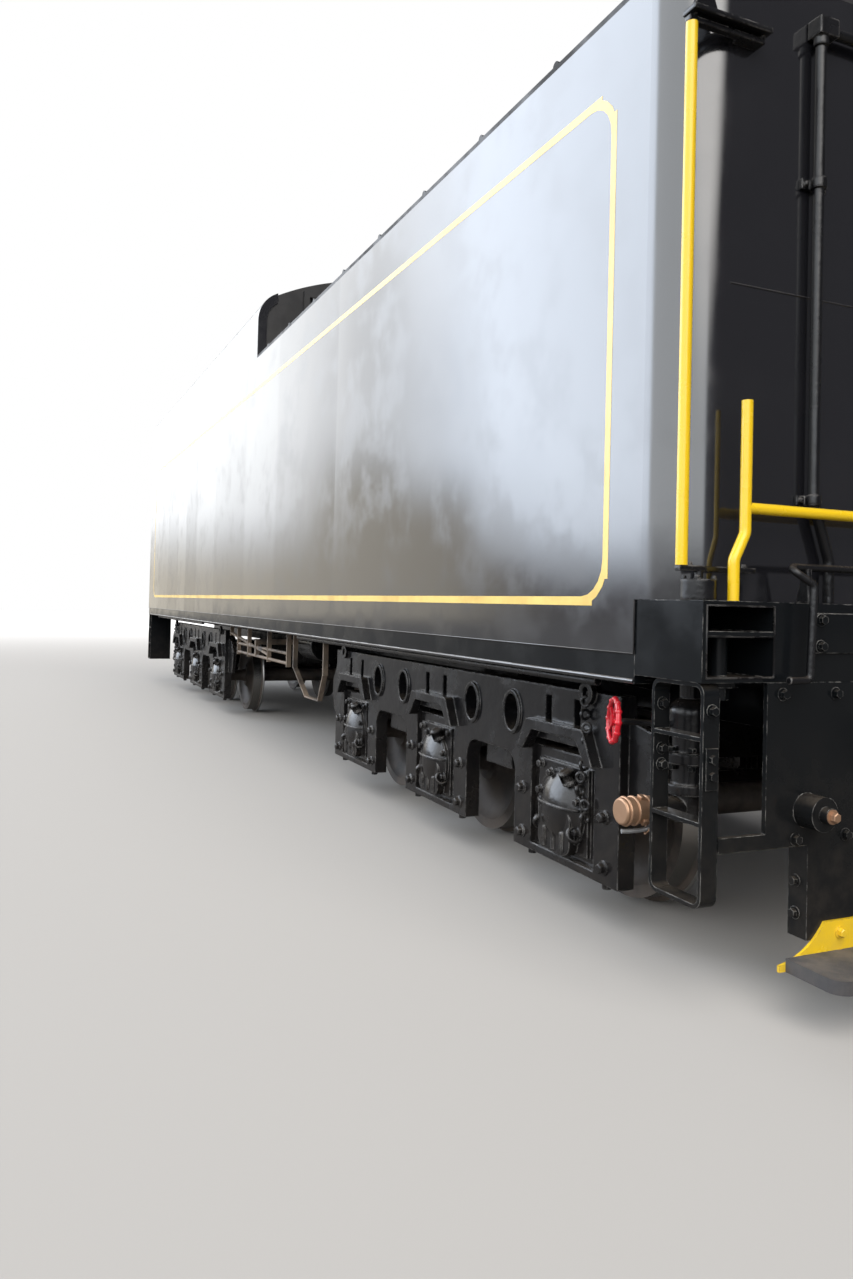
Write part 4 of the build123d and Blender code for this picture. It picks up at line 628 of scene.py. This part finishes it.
# Joint lips, clamps and oil cups of the axle boxes.
# Each cover is cast in two halves that meet in a flat lip; two clamps hold the sump up against
# it, and a small cup with a hinged lid takes the oil.
cover_lip_radius, cover_lip_reach, cover_lip_thick, cover_lip_z = 0.184, 0.060, 0.013, 0.516
clamp_reach, clamp_y, clamp_z = 0.155, 1.222, 0.400
cup_reach, cup_y, cup_z = 0.10, 1.225, 0.655


def round_edges(piece, width, segments=1):
    """Rounds a piece's sharp edges."""
    rounding = piece.modifiers.new("edge", "BEVEL")
    rounding.width = width
    rounding.segments = segments
    bpy.ops.object.modifier_apply(modifier="edge")


def turned_steps(piece, steps):
    """Grows a round piece's top in steps, each a reach and then a widening."""
    for face in piece.data.polygons:
        face.select = face.normal.z > 0.9
    bpy.ops.object.mode_set(mode="EDIT")
    bpy.ops.mesh.select_mode(type="FACE")
    for reach, widening in steps:
        bpy.ops.mesh.extrude_region_move(TRANSFORM_OT_translate={"value": (0, 0, reach)})
        bpy.ops.transform.resize(value=(widening, widening, 1))
    bpy.ops.object.mode_set(mode="OBJECT")


for end, truck_x in truck_centres:
    lip = start_with(bpy.ops.mesh.primitive_cylinder_add, vertices=40, radius=cover_lip_radius,
                     depth=cover_lip_thick)
    lip.scale = (1, cover_lip_reach / cover_lip_radius, 1)
    bpy.ops.object.transform_apply(location=False, rotation=False, scale=True)
    round_edges(lip, 0.002)
    lip_places = [(truck_x + axle * axle_pitch, side * cover_face_y, cover_lip_z, (0, 0, 1))
                  for side in (-1, 1) for axle in (-1, 0, 1)]
    fix_on(set_out(lip, lip_places, end + "_cover_lips"), iron, end + "_truck")

    clamp = start_with(bpy.ops.mesh.primitive_torus_add, major_radius=0.034, minor_radius=0.010,
                       major_segments=16, minor_segments=8)
    clamp.scale = (1.0, 1.0, 1.5)
    bpy.ops.object.transform_apply(location=False, rotation=False, scale=True)
    clamp_places = [(truck_x + axle * axle_pitch + leg * clamp_reach, side * clamp_y, clamp_z,
                     (1, side * 0.35, leg * 0.45))
                    for side in (-1, 1) for axle in (-1, 0, 1) for leg in (-1, 1)]
    fix_on(set_out(clamp, clamp_places, end + "_sump_clamps"), iron, end + "_truck")

    cup = start_with(bpy.ops.mesh.primitive_cylinder_add, vertices=18, radius=0.030, depth=0.052)
    turned_steps(cup, ((0.006, 1.3), (0.012, 1.0), (0.008, 0.6)))
    cup_places = [(truck_x + axle * axle_pitch + cup_reach, side * cup_y, cup_z, (0, side * 0.5, 1))
                  for side in (-1, 1) for axle in (-1, 0, 1)]
    fix_on(set_out(cup, cup_places, end + "_oil_cups"), iron, end + "_truck")

# Safety chains of the trucks.
# Forged long links, turned crosswise by turns, hang from the eye lug at the outer end of each
# side frame and down beside its jaw.
link_pitch, link_count, link_stretch = 0.060, 10, 0.016
chain_reach, chain_y, chain_top = 1.765, 1.232, 1.045
for end, truck_x in truck_centres:
    way = 1 if truck_x > 0 else -1
    link = start_with(bpy.ops.mesh.primitive_torus_add, major_radius=0.022, minor_radius=0.008,
                      major_segments=18, minor_segments=8)
    for half in (1, -1):
        for vertex in link.data.vertices:
            vertex.select = (vertex.co.y > -0.0001) == (half == 1)
        bpy.ops.object.mode_set(mode="EDIT")
        bpy.ops.mesh.select_mode(type="VERT")
        bpy.ops.transform.translate(value=(0, half * link_stretch, 0))
        bpy.ops.object.mode_set(mode="OBJECT")
    link.rotation_euler = (math.pi / 2, 0, 0)
    bpy.ops.object.transform_apply(location=True, rotation=True, scale=True)
    bpy.ops.object.shade_smooth()
    bpy.ops.object.duplicate()
    crossed = bpy.context.object
    crossed.rotation_euler = (0, 0, math.radians(90))
    crossed.location = (0, 0, -link_pitch)
    link.select_set(True)
    link.rotation_euler = (0, 0, math.radians(25))
    bpy.context.view_layer.objects.active = link
    bpy.ops.object.join()
    bpy.ops.object.transform_apply(location=True, rotation=True, scale=True)
    link_places = []
    for side in (-1, 1):
        for step in range(0, link_count, 2):
            link_places.append((truck_x + way * (chain_reach + 0.03 * math.sin(step * 0.9)),
                                side * (chain_y + 0.010 * math.sin(step * 1.1)),
                                chain_top - step * link_pitch, (0, 0, 1)))
    fix_on(set_out(link, link_places, end + "_safety_chains"), iron, end + "_truck")

# Bolts and nuts of the body's rear end.
# Hexagon heads under gloss black: on the stirrup legs, the hanger plates, the grab iron feet,
# the sill pad, the valve's flange, the conduit's clamps and the ladder's feet.
sill_x, pad_x, deck_height = 7.095, 7.105, 1.522
sill_row_high, sill_row_low, hanger_x, hanger_y = 1.185, 0.652, 7.040, 0.985
stirrup_rear_x, stirrup_front_x, stirrup_y = 7.089, 6.811, 1.440
valve_x, valve_y, flange_bolt_ring = 6.675, -1.200, 0.082
flange_top, flange_bottom, neck_flange_z = 0.917, 0.873, 1.228
rear_places = []
for side in (-1, 1):
    for bolt_z in (0.900, 0.960, 1.130):
        for stirrup_x in (stirrup_rear_x, stirrup_front_x):
            rear_places.append((stirrup_x, side * stirrup_y, bolt_z, (1, 0, 0)))
    for bolt_y in (0.60, 0.86, 1.12):
        rear_places.append((sill_x, side * bolt_y, sill_row_high, (1, 0, 0)))
    for bolt_y in (1.05, 0.80):
        rear_places.append((sill_x, side * bolt_y, sill_row_low, (1, 0, 0)))
    for bolt_z in (0.36, 0.48):
        rear_places.append((hanger_x, side * hanger_y, bolt_z, (0, side, 0)))
    for bolt_y in (0.14, 0.42, 0.70, 0.95):
        for bolt_z in (1.46, 1.362):
            rear_places.append((pad_x, side * bolt_y, bolt_z, (1, 0, 0)))
for bolt_y in (-0.055, 0.055):
    rear_places.append((valve_x + 0.03, valve_y + bolt_y, neck_flange_z, (0, 0, -1)))
for sixth in range(6):
    angle = math.radians(30 + 60 * sixth)
    spot = (valve_x + flange_bolt_ring * math.cos(angle), valve_y + flange_bolt_ring * math.sin(angle))
    rear_places.append((*spot, flange_top, (0, 0, 1)))
    rear_places.append((*spot, flange_bottom, (0, 0, -1)))
fix_on(set_out(hex_bolt(0.95), rear_places, "rear_end_bolts"), sill_paint, "tender")

bracket_x, grab_x, grab_y, foot_z, foot_bolt_ring = 6.985, 6.997, 1.433, 1.598, 0.052
conduit_x, conduit_y, lever_foot_x = 6.975, -0.886, 7.075
small_places = []
for side in (-1, 1):
    for bolt_z in (1.647, 3.644):
        for bolt_y in (1.215, 1.465):
            small_places.append((bracket_x, side * bolt_y, bolt_z, (0, 0, 1)))
    for corner in range(4):
        angle = math.radians(45 + 90 * corner)
        small_places.append((grab_x + foot_bolt_ring * math.cos(angle),
                             side * (grab_y + foot_bolt_ring * math.sin(angle)), foot_z, (0, 0, 1)))
for clamp_z in (1.920, 3.158):
    for offset in (-0.046, 0.046):
        small_places.append((conduit_x, conduit_y + offset, clamp_z, (1, 0, 0)))
for bolt_y in (-0.99, -0.29):
    for offset in (-0.028, 0.012):
        small_places.append((lever_foot_x + offset, bolt_y, deck_height + 0.004, (0, 0, 1)))
fix_on(set_out(hex_bolt(0.55), small_places, "rear_bracket_bolts"), iron, "tender")

# Lap plates of the stirrups.
# Each stirrup is forged in two parts, and its lower loop is bolted over the upper one's legs;
# short steel plates, painted with them.
lap_size, lap_z, lap_legs = (0.008, 0.056, 0.150), 0.925, (6.806, 7.094)


def edged_plate(size, place, edge, segments=2):
    """Flat plate at its place, with rounded edges."""
    plate = start_with(bpy.ops.mesh.primitive_cube_add, size=1, location=place)
    plate.scale = size
    bpy.ops.object.transform_apply(location=True, rotation=False, scale=True)
    round_edges(plate, edge, segments)
    return plate


for side, side_name in ((-1, "left"), (1, "right")):
    laps = [edged_plate(lap_size, (lap_x, side * stirrup_y, lap_z), 0.003) for lap_x in lap_legs]
    fix_on(join_pieces(laps, side_name + "_stirrup_laps"), sill_paint, "tender")

# Bolts of the kick plates.
# Hexagon heads under the same yellow paint, four through each plate into its hanger.
kick_x = 7.107
kick_places = [(kick_x, side * bolt_y, bolt_z, (1, 0, 0)) for side in (-1, 1)
               for bolt_y, bolt_z in ((0.83, 0.290), (0.83, 0.205), (0.62, 0.290), (0.62, 0.205))]
fix_on(set_out(hex_bolt(0.9), kick_places, "kick_plate_bolts"), yellow, "tender")

# Nuts on the pins of the two rollers.
# Plain brass, worn brown, one screwed on each pin's outer end.
roller_x, roller_y, roller_z = 7.217, 0.995, 0.755
roller_places = [(roller_x, side * roller_y, roller_z, (1, 0, 0)) for side in (-1, 1)]
fix_on(set_out(hex_bolt(1.05), roller_places, "roller_nuts"), brass, "tender")

# Steps of the striping at its rear corners.
# The straight lines run on a little past the start of each rounded corner and end square, as
# where the painter's tape was cut; the same golden paint.
step_long, step_wide, paint_thick = 0.080, 0.025, 0.001
outer_x, outer_low, outer_high = 6.520, 1.495, 3.643
step_spots = (
    (outer_x - stripe_corner + step_long / 2, outer_low + step_wide / 2, step_long, step_wide),
    (outer_x - step_wide / 2, outer_low + stripe_corner - step_long / 2, step_wide, step_long),
    (outer_x - stripe_corner + step_long / 2, outer_high - step_wide / 2, step_long, step_wide),
    (outer_x - step_wide / 2, outer_high - stripe_corner + step_long / 2, step_wide, step_long))
for side, side_name in ((-1, "left"), (1, "right")):
    tapes = [edged_plate((length, paint_thick, width), (x, side * (side_y + paint_thick / 2), z),
                         0.0003, segments=1) for x, z, length, width in step_spots]
    fix_on(join_pieces(tapes, side_name + "_stripe_steps"), gold, "tender")

# Rings and lugs of the hose cap.
# Three turned rings and three spanner lugs, cast and turned in one with the brass cap.
cap_low, cap_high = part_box("hose_cap")
cap_x, cap_z = (cap_low[0] + cap_high[0]) / 2, (cap_low[2] + cap_high[2]) / 2
cap_radius = (cap_high[2] - cap_low[2]) / 2
ring = start_with(bpy.ops.mesh.primitive_torus_add, major_radius=cap_radius, minor_radius=0.006,
                  major_segments=32, minor_segments=8)
ring_places = [(cap_x, cap_low[1] + reach, cap_z, (0, 1, 0)) for reach in (0.022, 0.060, 0.118)]
fix_on(set_out(ring, ring_places, "cap_rings"), brass, "tender")
lug = edged_plate((0.022, 0.030, 0.020), (0, 0, 0), 0.004)
lug_places = []
for third in range(3):
    angle = math.radians(75 + 120 * third)
    lug_places.append((cap_x + cap_radius * math.cos(angle), cap_low[1] + 0.090,
                       cap_z + cap_radius * math.sin(angle),
                       (math.cos(angle), 0, math.sin(angle))))
fix_on(set_out(lug, lug_places, "cap_lugs"), brass, "tender")

# Scalloped grip of the hand wheel.
# Twelve low knobs, cast in one with the iron rim and painted with it.
rim_radius = 0.086
wheel_low, wheel_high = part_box("drain_hand_wheel")
wheel_middle = (Vector(wheel_low) + Vector(wheel_high)) / 2
wheel_axis = Vector((0.37, 0.91, -0.05)).normalized()
wheel_across = wheel_axis.cross(up).normalized()
wheel_up = wheel_across.cross(wheel_axis).normalized()
knob = start_with(bpy.ops.mesh.primitive_uv_sphere_add, segments=12, ring_count=8, radius=0.0145)
knob.scale = (1, 1, 0.8)
bpy.ops.object.transform_apply(location=False, rotation=False, scale=True)
bpy.ops.object.shade_smooth()
knob_places = []
for number in range(12):
    angle = math.radians(30 * number)
    outward = wheel_across * math.cos(angle) + wheel_up * math.sin(angle)
    knob_places.append((*(wheel_middle + outward * rim_radius), tuple(outward)))
fix_on(set_out(knob, knob_places, "hand_wheel_knobs"), red, "tender")

# Weld beads.
# Hand-laid beads close the joints of the deck box, the tank's lower edge and the pocket; they
# stand a few millimetres proud and the paint runs over them.
bead_radius, skirt_y, skirt_z = 0.005, 1.496, 1.311


def bent_bar(name, points, radius, smooth=False):
    """Round bar along a list of points, as a mesh."""
    curve = bpy.data.curves.new(name, "CURVE")
    curve.dimensions = "3D"
    curve.bevel_depth = radius
    curve.bevel_resolution = 2
    curve.use_fill_caps = True
    run = curve.splines.new("NURBS" if smooth else "POLY")
    run.points.add(len(points) - 1)
    for spot, place in zip(run.points, points):
        spot.co = (*place, 1)
    if smooth:
        run.order_u = 3
        run.use_endpoint_u = True
        run.resolution_u = 6
    bar = bpy.data.objects.new(name, curve)
    bpy.context.scene.collection.objects.link(bar)
    bpy.ops.object.select_all(action="DESELECT")
    bar.select_set(True)
    bpy.context.view_layer.objects.active = bar
    bpy.ops.object.convert(target="MESH")
    return bpy.context.object


pocket_low, pocket_high, pocket_in, pocket_out = 1.246, 1.504, 1.164, 1.474
pocket_x, shelf_x, shelf_z = 7.094, 7.090, 1.395
for side, side_name in ((-1, "left"), (1, "right")):
    skirt = bent_bar(side_name + "_skirt_weld", [
        (x, side * skirt_y, z) for x, z in ((6.700, 1.520), (6.700, skirt_z), (6.0, skirt_z),
                                            (0.0, skirt_z), (-7.43, skirt_z))], bead_radius)
    fix_on(skirt, enamel, "tender")
    rim = bent_bar(side_name + "_pocket_weld", [
        (pocket_x, side * y, z) for y, z in (
            (pocket_in, pocket_low), (pocket_out, pocket_low), (pocket_out, pocket_high),
            (pocket_in, pocket_high), (pocket_in, pocket_low))], bead_radius)
    fix_on(rim, iron, "tender")
    foot = bent_bar(side_name + "_shelf_weld", [
        (shelf_x, side * y, shelf_z) for y in (pocket_in, pocket_out)], bead_radius)
    fix_on(foot, iron, "tender")

# Rounded lip along the lower edge of the cast bed.
# Cast in one with the bed, and under the same gloss black as the tank, so it shines as a line.
lip_y, lip_z, lip_radius = 1.485, 1.203, 0.012
for side, side_name in ((-1, "left"), (1, "right")):
    lip = bent_bar(side_name + "_bed_lip",
                   [(x, side * lip_y, lip_z) for x in (6.694, 0.0, -7.300)], lip_radius)
    bpy.ops.object.shade_smooth()
    fix_on(lip, enamel, "tender")

# Air hose of the train brake, beside the rear coupler.
# Black rubber hose on an iron cock, whose pipe comes down from under the end sill; a brass
# coupling head closes its free end.
pipe_y, pipe_z = 0.40, 0.950
rubber, tree, paint, coat = brushed_material("hose_rubber", 0.55, (0.018, 0.018, 0.018), 9.0, 220.0, 0.5)
feed(paint["Base Color"], dusted(tree, (0.016, 0.016, 0.016), (0.13, 0.11, 0.09),
                                 top=0.5, film=0.3, low=0.3, high=1.1))
feed(paint["Normal"], relief(tree, coat["Height"], 0.002, 0.5))
pipe = bent_bar("brake_pipe_end", [(6.960, pipe_y, 1.210), (6.960, pipe_y, 1.000),
                                   (6.975, pipe_y, 0.962), (7.010, pipe_y, pipe_z),
                                   (7.150, pipe_y, pipe_z)], 0.021, smooth=True)
bpy.ops.object.shade_smooth_by_angle(angle=math.radians(40))
fix_on(pipe, iron, "tender")
hose = bent_bar("brake_hose", [
    (7.190, pipe_y, pipe_z), (7.250, pipe_y, 0.948), (7.315, pipe_y, 0.900),
    (7.340, 0.395, 0.780), (7.330, 0.385, 0.640), (7.345, 0.365, 0.540), (7.385, 0.340, 0.475)],
    0.024, smooth=True)
bpy.ops.object.shade_smooth_by_angle(angle=math.radians(40))
fix_on(hose, rubber, "tender")
cock = start_with(bpy.ops.mesh.primitive_cylinder_add, vertices=20, radius=0.030, depth=0.070)
turned_steps(cock, ((0.004, 1.25), (0.016, 1.0), (0.004, 0.8), (0.018, 1.0)))
fix_on(set_out(cock, [(7.155, pipe_y, pipe_z, (1, 0, 0)), (7.372, 0.349, 0.492, (0.5, -0.33, -0.8))],
               "hose_fittings"), iron, "tender")
handle = bent_bar("cock_handle", [(7.160, pipe_y, 0.975), (7.160, pipe_y, 1.005),
                                  (7.150, 0.425, 1.012), (7.120, 0.500, 1.004)], 0.008)
fix_on(handle, iron, "tender")
head = start_with(bpy.ops.mesh.primitive_cylinder_add, vertices=24, radius=0.036, depth=0.034)
for face in head.data.polygons:
    face.select = abs(face.normal.z) > 0.9
bpy.ops.object.mode_set(mode="EDIT")
bpy.ops.mesh.select_mode(type="FACE")
bpy.ops.mesh.inset(thickness=0.009)
bpy.ops.mesh.inset(thickness=0.001)
bpy.ops.transform.resize(value=(1, 1, 0.6))
bpy.ops.object.mode_set(mode="OBJECT")
round_edges(head, 0.002)
fix_on(set_out(head, [(7.410, 0.322, 0.438, (-0.5, -0.8, 0.1))], "hose_coupling_head"), brass,
       "tender")

# Wire that keeps the hose cap, and a short pull bar below the cap.
# The wire is thin brass bent by hand round cap and branch; the bar is galvanised round steel.
zinc, tree, metal, coat = brushed_material("pull_zinc", 0.4, (0.42, 0.43, 0.44), 40.0, 300.0, 0.4)
feed(metal["Base Color"], tint(tree, coat["Dull"], (0.46, 0.47, 0.48), (0.20, 0.20, 0.20)))
feed(metal["Metallic"], grade(tree, coat["Dull"], 0.9, 0.3))
feed(metal["Normal"], relief(tree, coat["Height"], 0.001, 0.4))
pull = bent_bar("pull_bar", [
    (cap_x + 0.012, cap_high[1] + 0.010, cap_low[2] + 0.006),
    (cap_x + 0.012, cap_high[1] - 0.004, cap_low[2] - 0.020),
    (cap_x + 0.008, cap_low[1] + 0.060, cap_low[2] - 0.026),
    (cap_x, cap_low[1] + 0.010, cap_low[2] - 0.024)], 0.009, smooth=True)
bpy.ops.object.shade_smooth_by_angle(angle=math.radians(40))
fix_on(pull, zinc, "tender")
wire = bent_bar("cap_wire", [
    (6.675, -1.340, 0.700), (6.640, -1.370, 0.640), (6.662, -1.400, 0.598), (6.700, -1.420, 0.606),
    (6.712, -1.400, 0.640), (6.690, -1.370, 0.668), (6.675, -1.350, 0.700)], 0.003, smooth=True)
fix_on(wire, brass, "tender")

# Seams of the tank's rear wall.
# Its steel plates are butted and welded, and the welds are ground nearly flat.
wall_x, seam_radius = 6.959, 0.0035
seam_table = ((-1.28, 2.72, 1.28, 2.72), (-0.42, 1.53, -0.42, 3.94), (0.62, 1.53, 0.62, 3.94))
for number, (y_start, z_start, y_end, z_end) in enumerate(seam_table):
    seam = bent_bar(f"rear_wall_seam_{number + 1}",
                    [(wall_x, y_start, z_start), (wall_x, y_end, z_end)], seam_radius)
    fix_on(seam, enamel, "tender")

# Dogs of the hatch lid.
# Three short forged clamps along the lid's rear edge, each under its own nut.
lid_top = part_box("hatch_lid")[0][2] + 0.014
dog_thick = 0.018
dog_row = (-0.42, 0.0, 0.42)
dog = edged_plate((0.10, 0.030, dog_thick), (0, 0, 0.010), 0.005)
dog_places = [(5.53, y, lid_top, (0, 0, 1)) for y in dog_row]
fix_on(set_out(dog, dog_places, "hatch_dogs"), deck, "hatch_lid")
dog_bolts = [(5.52, y, lid_top + dog_thick, (0, 0, 1)) for y in dog_row]
fix_on(set_out(hex_bolt(0.8), dog_bolts, "hatch_dog_nuts"), deck, "hatch_lid")
